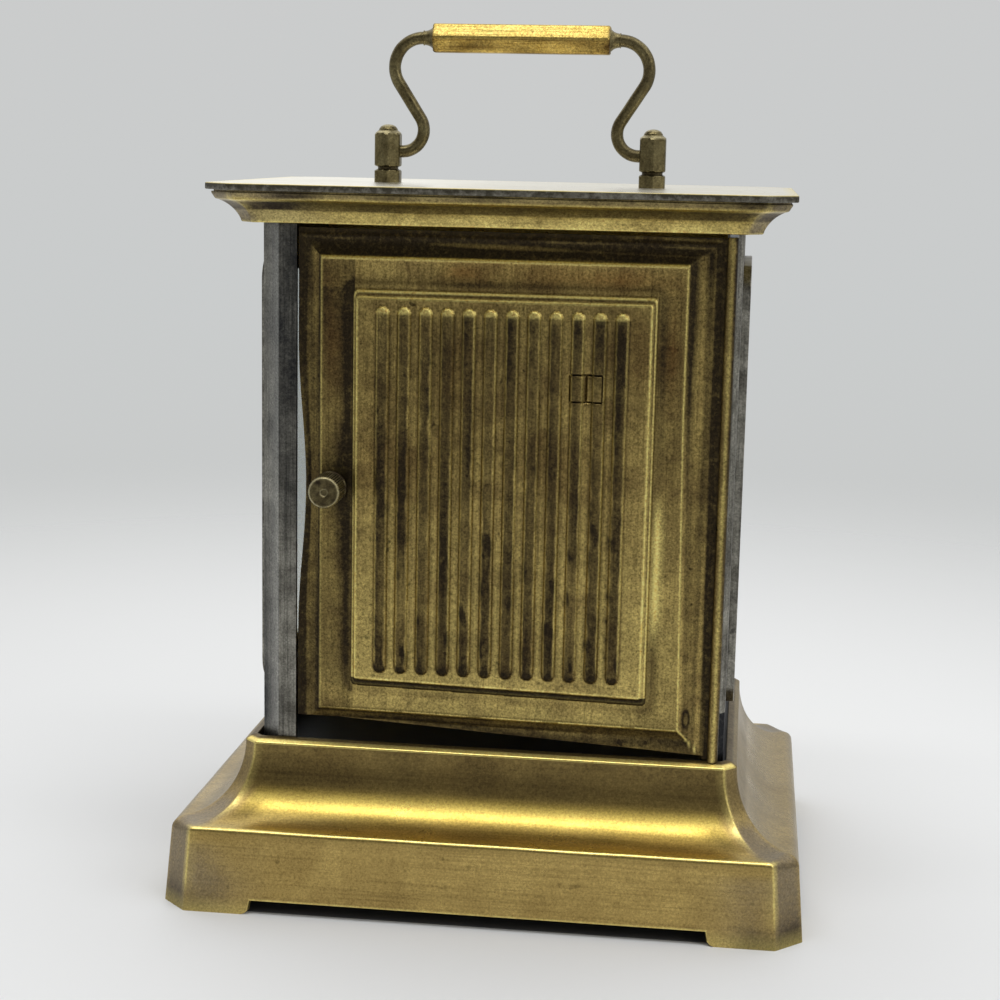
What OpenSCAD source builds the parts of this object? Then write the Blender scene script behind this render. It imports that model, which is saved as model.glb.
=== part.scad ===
// Musical carriage clock: pressed brass base and cornice, nickel corner pillars,
// glazed sides and front, a ribbed rear door and a swinging handle on the lid.
// The dial faces -Y and the rear door +Y. The origin is the middle of the footprint.

/* [Base] */
// Width of the base at the floor
base_w = 144; // [136:1:156]
// Depth of the base at the floor
base_d = 110; // [104:1:120]
// Length cut from each side at the corners of the base
base_cant = 6; // [4:0.5:8]
// Height of the upright wall of the base
base_wall_h = 19.2; // [17:0.2:22]
// How far the wall leans inwards over its height
base_draft = 1.6; // [0.8:0.1:2.4]
// Radius of the shoulder above the wall
shoulder_r = 1.2; // [0.6:0.1:1.8]
// Height of the rim that frames the case
rim_z = 35.5; // [34:0.5:40]
// Brass left beside the case at the rim, left and right
rim_ledge_x = 3.25; // [3:0.05:4]
// Brass left beside the case at the rim, front and rear
rim_ledge_y = 2.75; // [2.5:0.05:3.5]
// Length cut from each side at the corners of the rim
rim_cant = 2.9; // [2:0.1:4]
// Thickness of the brass sheet of the base
base_sheet = 1; // [0.8:0.1:1.2]
// Width of the ledge turned inwards at the rim, towards the case
ledge_w = 2.6; // [1.5:0.1:2.6]
// Height of the gap between the feet
foot_gap = 3.3; // [2:0.1:3.6]
// Length of each foot from its canted corner
foot_len = 15; // [10:1:20]
// Rounding of each foot's inner corner
foot_r = 2; // [1:0.5:2]

/* [Case] */
// Width of the case over its pillars
case_w = 106; // [102:1:110]
// Depth of the case over its pillars
case_d = 73; // [71:1:76]
// Height of the case between the floor plate and the cornice
case_h = 118.6; // [116:0.1:124]
// Depth of the floor plate below the rim
floor_drop = 1; // [0.6:0.1:1.6]
// Thickness of the floor plate
floor_t = 1; // [0.8:0.1:1.5]
// Width of the pillars' 45 degree face, measured along the side
pillar_cant = 4.5; // [3.5:0.1:5]
// Width of the pillars' face beside the door or the front frame
pillar_face = 4.1; // [3.5:0.1:5]
// Width of the pillars' face on the sides of the case
pillar_flank = 5; // [4:0.5:6]
// Thickness of the nickel sheet of the pillars
pillar_sheet = 1.2; // [0.8:0.1:1.4]
// How far the window frames stand proud of the pillars
frame_proud = 1.8; // [1.4:0.1:2.2]
// Thickness of the window frames' sheet
frame_sheet = 1; // [0.8:0.1:1.2]
// Width of the window frames' border
frame_border = 5; // [4:0.5:7]
// Height of each window frame's plain strip below and above its border
frame_margin = 11; // [9:0.5:13]
// Thickness of the glass
glass_t = 1.2; // [0.8:0.1:1.4]

/* [Cornice and lid] */
// Overhang of the cornice's foot over the case, left and right
cornice_ledge_x = 3.6; // [3:0.1:4.5]
// Overhang of the cornice's foot over the case, front and rear
cornice_ledge_y = 2.85; // [2.6:0.05:3.6]
// Length cut from each side at the corners of the cornice's foot
cornice_cant = 3; // [2:0.1:4]
// Height of the cornice
cornice_h = 7; // [6:0.1:8]
// How far the cornice flares out to the edge of the lid
cornice_reach = 7.4; // [6:0.1:9]
// Thickness of the cornice's brass sheet
cornice_sheet = 0.8; // [0.6:0.1:1]
// Length cut from each side at the corners of the lid
lid_cant = 6.4; // [5:0.1:8]
// Thickness of the lid
lid_t = 1.5; // [1.2:0.1:2]

/* [Handle] */
// Half of the distance between the handle posts
post_x = 31; // [28:0.5:36]
// Width of the posts across flats
post_flats = 6; // [5.8:0.1:7]
// Height of the pivot above the lid
pivot_h = 7.2; // [6.8:0.1:8]
// Height of the posts above the lid
post_h = 13.5; // [12.5:0.1:14.5]
// Diameter of the handle's rod
rod_d = 2.9; // [2.4:0.1:3.1]
// Bend radius of the curl beside each post
curl_r = 5; // [4.4:0.1:5.4]
// Bend radius of the outer loop
loop_r = 6.7; // [6:0.1:7]
// Distance of the outer loop's centre from the middle
loop_x = 22.9; // [22.9:0.1:25]
// Height of the grip above the pivot
grip_rise = 26; // [25.4:0.2:29]
// Length of the grip
grip_len = 41; // [34:1:41]
// Width of the grip across flats
grip_flats = 6.5; // [5.5:0.1:7]
// Length of the collar at each end of the grip
collar_len = 2.4; // [1.8:0.1:2.4]

/* [Rear door] */
// Thickness of the door's brass sheet
door_sheet = 0.8; // [0.6:0.1:0.9]
// Gap between the door and the pillar on its knob side
door_gap = 0.5; // [0.4:0.05:0.8]
// Gap under the door at its hinge side
door_foot_gap = 2.8; // [2:0.1:3.5]
// How much higher the door's edge stands at its bent corner
door_corner_lift = 4.9; // [3:0.1:5]
// Gap over the door
door_head_gap = 0.9; // [0.6:0.1:2]
// How far the middle of the knob side is bowed inwards
door_bow = 1.7; // [0:0.1:2.4]
// Width of the sunk border round the door
door_border = 5; // [4.5:0.1:5.5]
// Height by which the field stands out of the border
field_rise = 1.5; // [1:0.1:1.8]
// Width of the field between its edge and the middle panel
field_w = 7.6; // [6:0.1:9]
// Height by which the panel stands out of the field
panel_rise = 1; // [0.6:0.1:1.2]
// Number of ribs on the panel
rib_count = 12; // [8:1:13]
// Distance between ribs
rib_pitch = 4.78; // [4.2:0.02:4.9]
// Width of each rib
rib_w = 2.6; // [2:0.1:3]
// Height of each rib
rib_rise = 0.9; // [0.6:0.1:1.1]
// Diameter of the hinge barrel
barrel_d = 2.4; // [2.2:0.1:2.6]
// Diameter of the hinge pins
hinge_pin_d = 1.2; // [1:0.1:1.4]
// Height of the knob above the case floor
knob_h = 60.7; // [50:0.5:70]
// Diameter of the knob
knob_d = 7.3; // [6:0.1:9]
// Length of the knob
knob_len = 8; // [6:0.5:10]
// Reach of the latch tongue from the knob's axis
tongue_reach = 11; // [10:0.5:11.5]

/* [Dial and hands] */
// Height of the dial's centre above the case floor
dial_h = 65.5; // [62:0.5:68]
// Diameter of the dial
dial_d = 62; // [56:1:66]
// Distance from the front plate of the movement to the mask
motion_gap = 4.8; // [4.8:0.1:6]
// Thickness of the mask
mask_t = 0.8; // [0.6:0.1:1]
// Thickness of the dial
dial_t = 1; // [0.6:0.1:1.2]
// Length of the minute hand
minute_len = 24; // [20:1:26]
// Length of the hour hand
hour_len = 16.5; // [14:0.5:18]
// Length of the alarm hand
alarm_len = 6; // [5:0.5:7]
// Height of the alarm arbor above the dial's centre
alarm_rise = 16; // [15:0.5:17]
// Thickness of the hands
hand_t = 0.5; // [0.4:0.1:0.6]

/* [Movement] */
// Width of the movement's plates
plate_w = 64; // [64:1:72]
// Height of the movement's plates
plate_h = 76; // [76:1:84]
// Thickness of the plates
plate_t = 1.5; // [1.2:0.1:2]
// Room between the plates
plate_room = 22.5; // [22.5:0.5:25]
// Distance of the front plate's face in front of the case's middle
plate_y = 20; // [19:0.5:21]
// Diameter of the pivots
pivot_d = 1.2; // [1:0.1:1.4]
// Running clearance of pivots and shafts on radius
run_gap = 0.05; // [0.03:0.01:0.08]
// Thickness of the wheels
wheel_t = 1; // [0.8:0.1:1.2]
// Length of the going barrel's drum
drum_len = 9; // [8:0.5:9.5]
// Diameter of the balance wheel
balance_d = 16; // [14:0.5:17]
// Span of the winding key's wings
key_span = 20; // [16:1:24]

/* [Music work] */
// Diameter of the pinned cylinder
cylinder_d = 12; // [11:0.5:13]
// Length of the pinned cylinder
cylinder_len = 44; // [38:1:48]
// Length of the comb's plate and teeth
comb_len = 19; // [17:0.5:22]
// Number of teeth on the comb
comb_teeth = 24; // [18:1:28]
// Pitch radius of the music barrel's crown teeth
crown_r = 14; // [13.5:0.5:14.5]
// Span of the key under the base
music_key_span = 22; // [18:1:26]

/* [Hidden] */
$fn = 64;

nickel = "#8d8f8f";
brass = "#a8924a";
dark_brass = "#6b5d34";
gilt = "#d0ae4a";
steel = "#7d8084";
eps = 0.01;

// Levels
floor_z = rim_z - floor_drop;
roof_z = floor_z + case_h;
lid_z = roof_z + cornice_h;
lid_top = lid_z + lid_t;
dial_z = floor_z + dial_h;

// Canted outlines as [width, depth, length cut at the corners]
base_outline = [base_w, base_d, base_cant];
rim_outline = [case_w + 2 * rim_ledge_x, case_d + 2 * rim_ledge_y, rim_cant];
cornice_outline = [case_w + 2 * cornice_ledge_x, case_d + 2 * cornice_ledge_y, cornice_cant];
lid_outline = [cornice_outline[0] + 2 * cornice_reach, cornice_outline[1] + 2 * cornice_reach, lid_cant];
// The same outline with a parallel margin t taken off
function inset(o, t) = [o[0] - 2 * t, o[1] - 2 * t, o[2] - (2 - sqrt(2)) * t];
function mid(a, b, u) = a + (b - a) * u;
// Distance of a canted face from the middle
function cant_reach(o) = (o[0] / 2 + o[1] / 2 - o[2]) / sqrt(2);

// Profile of the base as [share of the way from the floor's outline to the rim's, height]
rim_inset = (base_outline[0] - rim_outline[0]) / 2;
cove_in = base_draft + shoulder_r;
cove_steps = 12;
base_profile = concat(
  [[0, 0]],
  [for (a = [0 : 30 : 90]) [(cove_in - shoulder_r * cos(a)) / rim_inset, base_wall_h - shoulder_r * (1 - sin(a))]],
  [for (i = [1 : cove_steps]) let (a = 90 * i / cove_steps)
    [(cove_in + (rim_inset - cove_in) * sin(a)) / rim_inset, rim_z - (rim_z - base_wall_h) * cos(a)]]);

// Profile of the cornice as [share of the way from its foot's outline to the lid's, height above the roof]
cornice_foot = [0.35, 0.45];
cove_end = [cornice_reach - 2.65, cornice_h - 2.15];
cove_turns = [68, 22];
// Share of the cove's width and height passed where it climbs at angle a
function cove_share(a) = [(sin(cove_turns[0]) - sin(a)) / (sin(cove_turns[0]) - sin(cove_turns[1])),
  (cos(a) - cos(cove_turns[0])) / (cos(cove_turns[1]) - cos(cove_turns[0]))];
// Each point of the lip and the neck as [distance inside the lid's edge, depth below the lid]
lip_points = [[2, 1.9], [1.45, 1.1], [1.2, 0.4], [1.7, 0.4], [1.7, 0]];
cornice_profile = concat(
  [[0, 0]],
  [for (i = [0 : 8]) let (u = cove_share(mid(cove_turns[0], cove_turns[1], i / 8)))
    [mid(cornice_foot[0], cove_end[0], u[0]) / cornice_reach, mid(cornice_foot[1], cove_end[1], u[1])]],
  [for (p = lip_points) [(cornice_reach - p[0]) / cornice_reach, cornice_h - p[1]]]);

// Pillars and window frames
pillar_tuck = pillar_sheet * tan(22.5);
frame_z0 = floor_z + frame_margin + 0.5;
frame_z1 = roof_z - frame_margin + 3.5;
frame_r = 6;
frame_gap = 0.3;
frame_tuck = 3;
side_raise = case_d - 2 * (pillar_cant + pillar_flank) - 2 * frame_gap;
front_raise = case_w - 2 * (pillar_cant + pillar_face) - 2 * frame_gap;
side_span = side_raise + 2 * frame_gap + 2 * frame_tuck;
front_span = front_raise + 2 * frame_gap + 2 * frame_tuck;

// Handle
pivot_z = lid_top + pivot_h;
post_round = post_flats / cos(30);
collar_h = 3;
groove_h = 0.6;
cap_h = 1.9;
cap_d = 4.3;
edge_cut = 0.6;
curl_x = post_x - post_flats / 2 - 0.4;
rod_reach = 4.5;
// The rod draws a little thinner where it is bent, and the straights lap over the bends
bend_draw = 0.06;
lap = 0.2;
grip_z = pivot_z + grip_rise;
curl_z = pivot_z + curl_r;
loop_z = grip_z - loop_r;
swing_line = atan2(loop_z - curl_z, loop_x - curl_x);
swing_span = norm([loop_x - curl_x, loop_z - curl_z]);
arm_turn = swing_line - asin((curl_r + loop_r) / swing_span);
arm_len = sqrt(swing_span * swing_span - (curl_r + loop_r) * (curl_r + loop_r));
stud_d = 3;
stud_len = 5;
nut_flats = 6;
nut_h = 2.4;

// Rear door
sheet_y = case_d / 2 + 0.1;
hinge_x = -(case_w / 2 - pillar_cant + 2.1);
hinge_y = sheet_y - door_sheet + barrel_d / 2;
door_x0 = -(case_w / 2 - pillar_cant + 0.1);
door_x1 = case_w / 2 - pillar_cant - pillar_face - door_gap;
door_z0 = floor_z + door_foot_gap;
door_z1 = roof_z - door_head_gap;
bow_half = 33;
bevel = 1;
// The border is this much wider at the head of the door
head_extra = 1.4;
// The panel sits this much towards the knob, and the ribs as much again
panel_shift = 0.4;
field_x0 = door_x0 + door_border - bevel;
field_x1 = door_x1 - door_border + bevel;
field_tilt = 1.4;
field_z0 = door_z0 + door_corner_lift;
field_z1 = door_z1 - door_border - head_extra + bevel;
panel_x0 = field_x0 + field_w + panel_shift;
panel_x1 = field_x1 - field_w + panel_shift;
panel_z0 = field_z0 + field_w - 1.1;
panel_z1 = field_z1 - field_w;
field_y = sheet_y + field_rise;
panel_y = field_y + panel_rise;
rib_x0 = (panel_x0 + panel_x1) / 2 + panel_shift - rib_pitch * (rib_count - 1) / 2;
rib_margin = 4;
knob_x = door_x1 - 7.9;
knob_z = floor_z + knob_h;
stem_d = 3;
ferrule_t = 0.7;
tongue_t = 1.2;
tongue_y = sheet_y - door_sheet - 3.4;
tab_x = panel_x0 + 12.6;
tab_z = floor_z + 81.5;
tab_w = 7.5;
tab_h = 6.3;
slit = 0.35;
pin_shoulder_d = 2;
pin_bite = 5;
pin_float = 0.1;

// Depths of the movement, from its front plate backwards
front_face = -plate_y;
front_back = front_face + plate_t;
rear_face = front_back + plate_room;
rear_back = rear_face + plate_t;
mask_face = front_face - motion_gap - mask_t;
dial_face = mask_face - dial_t;
hour_hand_y = dial_face - 2;
minute_hand_y = hour_hand_y - 1.6;
plate_z = dial_z;

// Tooth counts and modules of the wheels
going_m = 0.5;
barrel_n = 72;
centre_pinion_n = 12;
centre_m = 0.4;
centre_n = 64;
third_pinion_n = 8;
third_m = 0.35;
third_n = 60;
fourth_pinion_n = 8;
fourth_m = 0.3;
fourth_n = 60;
escape_pinion_n = 8;
motion_m = 0.5;
cannon_n = 10;
minute_n = 30;
minute_pinion_n = 8;
hour_n = 32;
function apart(m, n1, n2) = m * (n1 + n2) / 2;
// Point at a distance and a direction, measured from +X towards +Z
function off(p, r, a) = [p[0] + r * cos(a), p[1] + r * sin(a)];

centre_at = [0, dial_z];
barrel_turn = 240;
third_turn = 160;
fourth_turn = 80;
escape_turn = 180;
minute_turn = 180;
// A pinion's mesh line points back to the wheel that drives it
half_turn = 180;
barrel_at = off(centre_at, apart(going_m, barrel_n, centre_pinion_n), barrel_turn);
third_at = off(centre_at, apart(centre_m, centre_n, third_pinion_n), third_turn);
fourth_at = off(third_at, apart(third_m, third_n, fourth_pinion_n), fourth_turn);
escape_at = off(fourth_at, apart(fourth_m, fourth_n, escape_pinion_n), escape_turn);
escape_d = 12;
pallet_at = off(escape_at, 9.5, 90);
balance_at = off(pallet_at, 12, 6);
alarm_at = [0, dial_z + alarm_rise];
minute_at = off(centre_at, apart(motion_m, minute_n, cannon_n), minute_turn);
arbors = [barrel_at, third_at, fourth_at, escape_at, pallet_at, balance_at];

// Layers of the going train
drum_y = front_back + 1;
barrel_wheel_y = drum_y + drum_len;
centre_pinion_y = barrel_wheel_y - 0.6;
centre_pinion_len = 3;
centre_wheel_y = centre_pinion_y + centre_pinion_len + 1.6;
third_pinion_y = centre_wheel_y - 0.7;
third_wheel_y = rear_face - 3.4;
fourth_pinion_y = third_wheel_y - 0.6;
fourth_wheel_y = barrel_wheel_y + 2.4;
escape_pinion_y = fourth_wheel_y - 0.7;
escape_wheel_inset = 6.5;
escape_wheel_y = front_back + escape_wheel_inset;
pallet_y = escape_wheel_y;
balance_y = front_back + 3;
hairspring_y = balance_y - 1.8;
cannon_y = front_face - 1.8;
hour_wheel_y = cannon_y - 1.5;

arbor_d = 2;
minute_arbor_d = 2.4;
tube_wall = 0.6;
hour_tube_d = minute_arbor_d + 2 * run_gap + 2 * tube_wall;
drum_d = 33;
knob_reach = 12;
set_knob_d = 11;
alarm_knob_d = 8;
key_d = 3.4;
key_hub_d = 6;
winding_square = 2.6;
cam_r = 3.5;

// Music work in the hollow of the base
bottom_z = foot_gap + 0.7;
bottom_t = 1;
bed_z = bottom_z + bottom_t;
bed_t = 1.4;
bed_l = 104;
bed_d = 50;
crown_n = 42;
crown_m = 2 * crown_r / crown_n;
music_pinion_n = 12;
music_pinion_r = crown_m * music_pinion_n / 2;
crown_x = 30;
music_barrel_h = 6.5;
music_barrel_z = bed_z + bed_t + 0.6;
crown_tooth_h = 1.3;
crown_tooth_w = 0.8 * crown_m;
crown_top = music_barrel_z + music_barrel_h;
cylinder_z = crown_top + crown_tooth_h / 2 + music_pinion_r;
pinion_x = crown_x - crown_r;
cylinder_x1 = pinion_x - 4.5;
cylinder_x0 = cylinder_x1 - cylinder_len;
cylinder_shaft_d = 2.4;
great_n = 48;
great_m = 0.34;
governor_pinion_n = 8;
great_x = cylinder_x0 - 2.6;
governor_y = -apart(great_m, great_n, governor_pinion_n);
governor_x = great_x - 5;
governor_n = 20;
worm_m = 0.34;
worm_d = 3.2;
worm_y = governor_y - worm_m * (governor_n / 2 + 0.9) - worm_d / 2 - 0.1;
ear_t = 1.6;
lever_at = [-22, plate_z - plate_h / 2 + 6];
lever_y = front_face - 1.2;
lever_t = 0.8;
lever_slot = 6;
lever_bottom = cylinder_z + 4.6;

// Outline with its corners cut at 45 degrees
module canted(o) {
  w = o[0] / 2;
  d = o[1] / 2;
  c = o[2];
  polygon([[w - c, -d], [w, c - d], [w, d - c], [w - c, d], [c - w, d], [-w, d - c], [-w, c - d], [c - w, -d]]);
}

// Long bar along Y whose two flanks follow a profile between half widths a and b
module two_flanks(a, b, profile, reach) {
  right = [for (p = profile) [mid(a, b, p[0]), p[1]]];
  left = [for (i = [len(right) - 1 : -1 : 0]) [-right[i][0], right[i][1]]];
  rotate([90, 0, 0])
    linear_extrude(reach, center = true)
      polygon(concat(right, left));
}

// Moulding with eight mitred faces from a lower to an upper canted outline
module moulding(lower, upper, profile) {
  reach = lower[0] + upper[0];
  intersection() {
    two_flanks(lower[0] / 2, upper[0] / 2, profile, reach);
    rotate([0, 0, 90])
      two_flanks(lower[1] / 2, upper[1] / 2, profile, reach);
    rotate([0, 0, 45])
      two_flanks(cant_reach(lower), cant_reach(upper), profile, reach);
    rotate([0, 0, -45])
      two_flanks(cant_reach(lower), cant_reach(upper), profile, reach);
  }
}

// Moulding pressed from sheet, its inside shifted by the sheet's thickness
module pressed_moulding(lower, upper, profile, sheet, shift) {
  difference() {
    moulding(lower, upper, profile);
    moulding(inset(lower, sheet), inset(upper, sheet), [for (p = profile) [p[0], p[1] + shift]]);
  }
}

// Rectangle from z0 to z1 with rounded corners, w wide
module rounded(w, z0, z1, r) {
  translate([-w / 2 + r, z0])
    square([w - 2 * r, z1 - z0]);
  translate([-w / 2, z0 + r])
    square([w, z1 - z0 - 2 * r]);
  for (x = [-w / 2 + r, w / 2 - r])
    for (z = [z0 + r, z1 - r])
      translate([x, z])
        circle(r);
}

// Stands a drawing in the XZ plane up and gives it the depth from y0 to y1
module upright(y0, y1) {
  translate([0, y1, 0])
    rotate([90, 0, 0])
      linear_extrude(y1 - y0)
        children();
}

// Round bar along Y at a point of the XZ plane
module bar_y(at, d, y0, y1) {
  translate([at[0], y0, at[1]])
    rotate([-90, 0, 0])
      cylinder(d = d, h = y1 - y0);
}

// Round bar along X
module bar_x(x0, x1, y, z, d) {
  translate([x0, y, z])
    rotate([0, 90, 0])
      cylinder(d = d, h = x1 - x0);
}

// Toothed disc with one tooth on its +X side; its pitch radius is m * n / 2
module toothed(n, m) {
  step = 360 / n;
  root = m * (n / 2 - 1.25);
  pitch = m * n / 2;
  tip = m * (n / 2 + 0.9);
  shape = [[root, -0.3], [pitch, -0.22], [tip, -0.1], [tip, 0.1], [pitch, 0.22], [root, 0.3]];
  polygon([for (i = [0 : n - 1]) for (p = shape)
    [p[0] * cos(step * (i + p[1])), p[0] * sin(step * (i + p[1]))]]);
}

// Openings between the arms of a wheel
module crossings(outer, hub, arms, arm_w) {
  difference() {
    circle(outer);
    circle(hub);
    for (i = [0 : arms - 1])
      rotate(360 * i / arms)
        translate([0, -arm_w / 2])
          square([outer + 1, arm_w]);
  }
}

// Wheel in the XZ plane: a tooth points along turn, or a gap if half is 0.5
module wheel_at(at, n, m, turn, half, y, t) {
  translate([at[0], y, at[1]])
    rotate([-90, 0, 0])
      rotate(-turn + 360 * half / n)
        linear_extrude(t)
          toothed(n, m);
}

// The same wheel with crossed out arms
module crossed_wheel_at(at, n, m, turn, half, y, t) {
  translate([at[0], y, at[1]])
    rotate([-90, 0, 0])
      rotate(-turn + 360 * half / n)
        linear_extrude(t)
          difference() {
            toothed(n, m);
            crossings(m * (n / 2 - 3.4), 2.6, 5, 1.2);
          }
}

// Arbor with a pivot at each end that turns in the plates
module pivoted_arbor(at, d = arbor_d) {
  bar_y(at, d, front_back + 0.2, rear_face - 0.2);
  bar_y(at, pivot_d, front_face + 0.1, rear_back - 0.1);
}

// Gap between two feet, widened below by the rounding of the feet
module foot_arch(w) {
  translate([-w / 2, -1])
    square([w, foot_gap + 1]);
  for (s = [-1, 1])
    difference() {
      translate([s > 0 ? w / 2 - eps : -w / 2 - foot_r + eps, -1])
        square([foot_r, foot_r + 1]);
      translate([s * (w / 2 + foot_r), foot_r])
        circle(foot_r);
    }
}

module base_plinth() {
  color(brass)
    difference() {
      pressed_moulding(base_outline, rim_outline, base_profile, base_sheet, -base_sheet);
      translate([0, 0, rim_z - 2 * base_sheet])
        linear_extrude(3 * base_sheet)
          canted(inset(rim_outline, ledge_w));
      translate([hinge_x, hinge_y, rim_z - 2 * base_sheet])
        cylinder(d = pin_shoulder_d + 2 * run_gap, h = 3 * base_sheet);
      rotate([90, 0, 0])
        linear_extrude(base_d + 2, center = true)
          foot_arch(base_w - 2 * base_cant - 2 * foot_len);
      rotate([90, 0, 90])
        linear_extrude(base_w + 2, center = true)
          foot_arch(base_d - 2 * base_cant - 2 * foot_len);
    }
}

module base_bottom_plate() {
  lean = base_draft * (bottom_z + bottom_t) / base_wall_h;
  color(steel)
    difference() {
      translate([0, 0, bottom_z])
        linear_extrude(bottom_t)
          canted(inset(base_outline, base_sheet + lean + 0.1));
      translate([crown_x, 0, bottom_z - 1])
        cylinder(d = key_hub_d + 1, h = bottom_t + 2);
    }
}

module case_floor() {
  color("#23262e")
    difference() {
      translate([0, 0, floor_z - floor_t])
        linear_extrude(floor_t)
          canted(inset(rim_outline, base_sheet));
      translate([lever_at[0] - lever_slot / 2, lever_y - 1, floor_z - floor_t - 1])
        cube([lever_slot, 2, floor_t + 2]);
    }
}

// Angle of nickel sheet round one corner; start is where its rear end lies on the 45 degree face
module pillar(sx, sy, face, start) {
  w = case_w / 2;
  d = case_d / 2;
  c = pillar_cant;
  t = pillar_sheet;
  open_end = face > 0 ? [[w - c - face, d], [w - c, d]] : [[w - c + start, d - start]];
  inner_end = face > 0 ? [[w - c - pillar_tuck, d - t], [w - c - face, d - t]]
    : [[w - c + start, d - start - t * sqrt(2)]];
  mirror([sx < 0 ? 1 : 0, 0, 0])
    mirror([0, sy < 0 ? 1 : 0, 0])
      translate([0, 0, floor_z])
        linear_extrude(case_h)
          polygon(concat(open_end,
            [[w, d - c], [w, d - c - pillar_flank], [w - t, d - c - pillar_flank], [w - t, d - c - pillar_tuck]],
            inner_end));
}

module pillar_front_left() {
  color(nickel)
    pillar(-1, -1, pillar_face, 0);
}

module pillar_front_right() {
  color(nickel)
    pillar(1, -1, pillar_face, 0);
}

// The pillar behind the hinge has no rear face, so that the door folds past it
module pillar_rear_left() {
  color(nickel)
    pillar(-1, 1, 0, 0.9);
}

module pillar_rear_right() {
  color(nickel)
    pillar(1, 1, pillar_face, 0);
}

// Window frame pressed from one sheet; its outside faces +Y, level 0 is the pillars' face
module window_frame(span, raise) {
  t = frame_sheet;
  difference() {
    union() {
      translate([-span / 2, -pillar_sheet - t, floor_z])
        cube([span, t, case_h]);
      upright(-pillar_sheet - t, frame_proud)
        rounded(raise, frame_z0, frame_z1, frame_r);
    }
    upright(-pillar_sheet - t - 1, frame_proud - t)
      rounded(raise - 2 * t, frame_z0 + t, frame_z1 - t, frame_r - t);
    upright(0, frame_proud + 1)
      rounded(raise - 2 * frame_border, frame_z0 + frame_border, frame_z1 - frame_border, 2);
  }
}

module window_glass(raise) {
  t = frame_sheet + run_gap;
  upright(frame_proud - frame_sheet - glass_t, frame_proud - frame_sheet)
    rounded(raise - 2 * t, frame_z0 + t, frame_z1 - t, frame_r - t);
}

module side_frame_left() {
  color(nickel)
    translate([-case_w / 2, 0, 0])
      rotate([0, 0, 90])
        window_frame(side_span, side_raise);
}

module side_frame_right() {
  color(nickel)
    translate([case_w / 2, 0, 0])
      rotate([0, 0, -90])
        window_frame(side_span, side_raise);
}

module side_glass_left() {
  color("lightblue", 0.35)
    translate([-case_w / 2, 0, 0])
      rotate([0, 0, 90])
        window_glass(side_raise);
}

module side_glass_right() {
  color("lightblue", 0.35)
    translate([case_w / 2, 0, 0])
      rotate([0, 0, -90])
        window_glass(side_raise);
}

module front_frame() {
  color(brass)
    translate([0, -case_d / 2, 0])
      rotate([0, 0, 180])
        window_frame(front_span, front_raise);
}

module front_glass() {
  color("lightblue", 0.35)
    translate([0, -case_d / 2, 0])
      rotate([0, 0, 180])
        window_glass(front_raise);
}

module cornice() {
  color(brass)
    difference() {
      translate([0, 0, roof_z])
        pressed_moulding(cornice_outline, lid_outline, cornice_profile, cornice_sheet, cornice_sheet);
      translate([hinge_x, hinge_y, roof_z - 1])
        cylinder(d = hinge_pin_d, h = cornice_sheet + 2);
    }
}

module lid_plate() {
  color("#b9b8ae")
    difference() {
      translate([0, 0, lid_z])
        linear_extrude(lid_t)
          canted(lid_outline);
      for (x = [-post_x, post_x])
        translate([x, 0, lid_z - 1])
          cylinder(d = stud_d + 2 * run_gap, h = lid_t + 2);
    }
}

// Hexagonal block of a post, its corners turned off at the lower and the upper edge
module hex_block(z0, z1, low, high) {
  r = post_round / 2 + 0.05;
  intersection() {
    translate([0, 0, z0])
      rotate(30)
        cylinder(d = post_round, h = z1 - z0, $fn = 6);
    rotate_extrude()
      polygon([[0, z0], [r - low, z0], [r, z0 + low], [r, z1 - high], [r - high, z1], [0, z1]]);
  }
}

// Post on a hexagonal foot with a waist above it, a domed cap and a threaded stud through the lid
module handle_post(sx) {
  body_z = lid_top + collar_h + groove_h;
  body_top = lid_top + post_h - cap_h;
  color(dark_brass)
    translate([sx * post_x, 0, 0])
      difference() {
        union() {
          hex_block(lid_top, lid_top + collar_h, 0, edge_cut);
          translate([0, 0, lid_top + collar_h - eps])
            cylinder(d = post_flats - 1.2, h = groove_h + 2 * eps);
          hex_block(body_z, body_top, edge_cut, (post_round - cap_d) / 2);
          translate([0, 0, body_top])
            rotate_extrude()
              polygon([[0, -0.5], [cap_d / 2 - 0.3, -0.5], [cap_d / 2 - 0.05, 0], [1.35, 1.2], [0.9, cap_h - 0.2],
                [0, cap_h]]);
          translate([0, 0, lid_top - stud_len])
            cylinder(d = stud_d, h = stud_len + eps);
        }
        translate([-sx * (post_flats / 2 + 1), 0, pivot_z])
          rotate([0, sx * 90, 0])
            cylinder(d = rod_d + 2 * run_gap, h = rod_reach + 1.2);
      }
}

module handle_post_left() {
  handle_post(-1);
}

module handle_post_right() {
  handle_post(1);
}

module post_nuts() {
  color(steel)
    for (x = [-post_x, post_x])
      translate([x, 0, lid_z - nut_h])
        difference() {
          cylinder(d = nut_flats / cos(30), h = nut_h, $fn = 6);
          translate([0, 0, -1])
            cylinder(d = stud_d + 2 * run_gap, h = nut_h + 2);
        }
}

// Two pins on one line, each with a shoulder that keeps the barrel clear of the plates
module hinge_pins() {
  foot = door_z0 - 1.2 - pin_float - floor_z;
  head = roof_z - door_z1 - 0.2 - pin_float;
  color(steel)
    translate([hinge_x, hinge_y, 0]) {
      translate([0, 0, floor_z])
        cylinder(d = pin_shoulder_d, h = foot);
      translate([0, 0, floor_z])
        cylinder(d = hinge_pin_d, h = foot + pin_bite);
      translate([0, 0, roof_z - head])
        cylinder(d = pin_shoulder_d, h = head);
      translate([0, 0, roof_z - head - pin_bite])
        cylinder(d = hinge_pin_d, h = head + pin_bite + cornice_sheet);
    }
}

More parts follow.
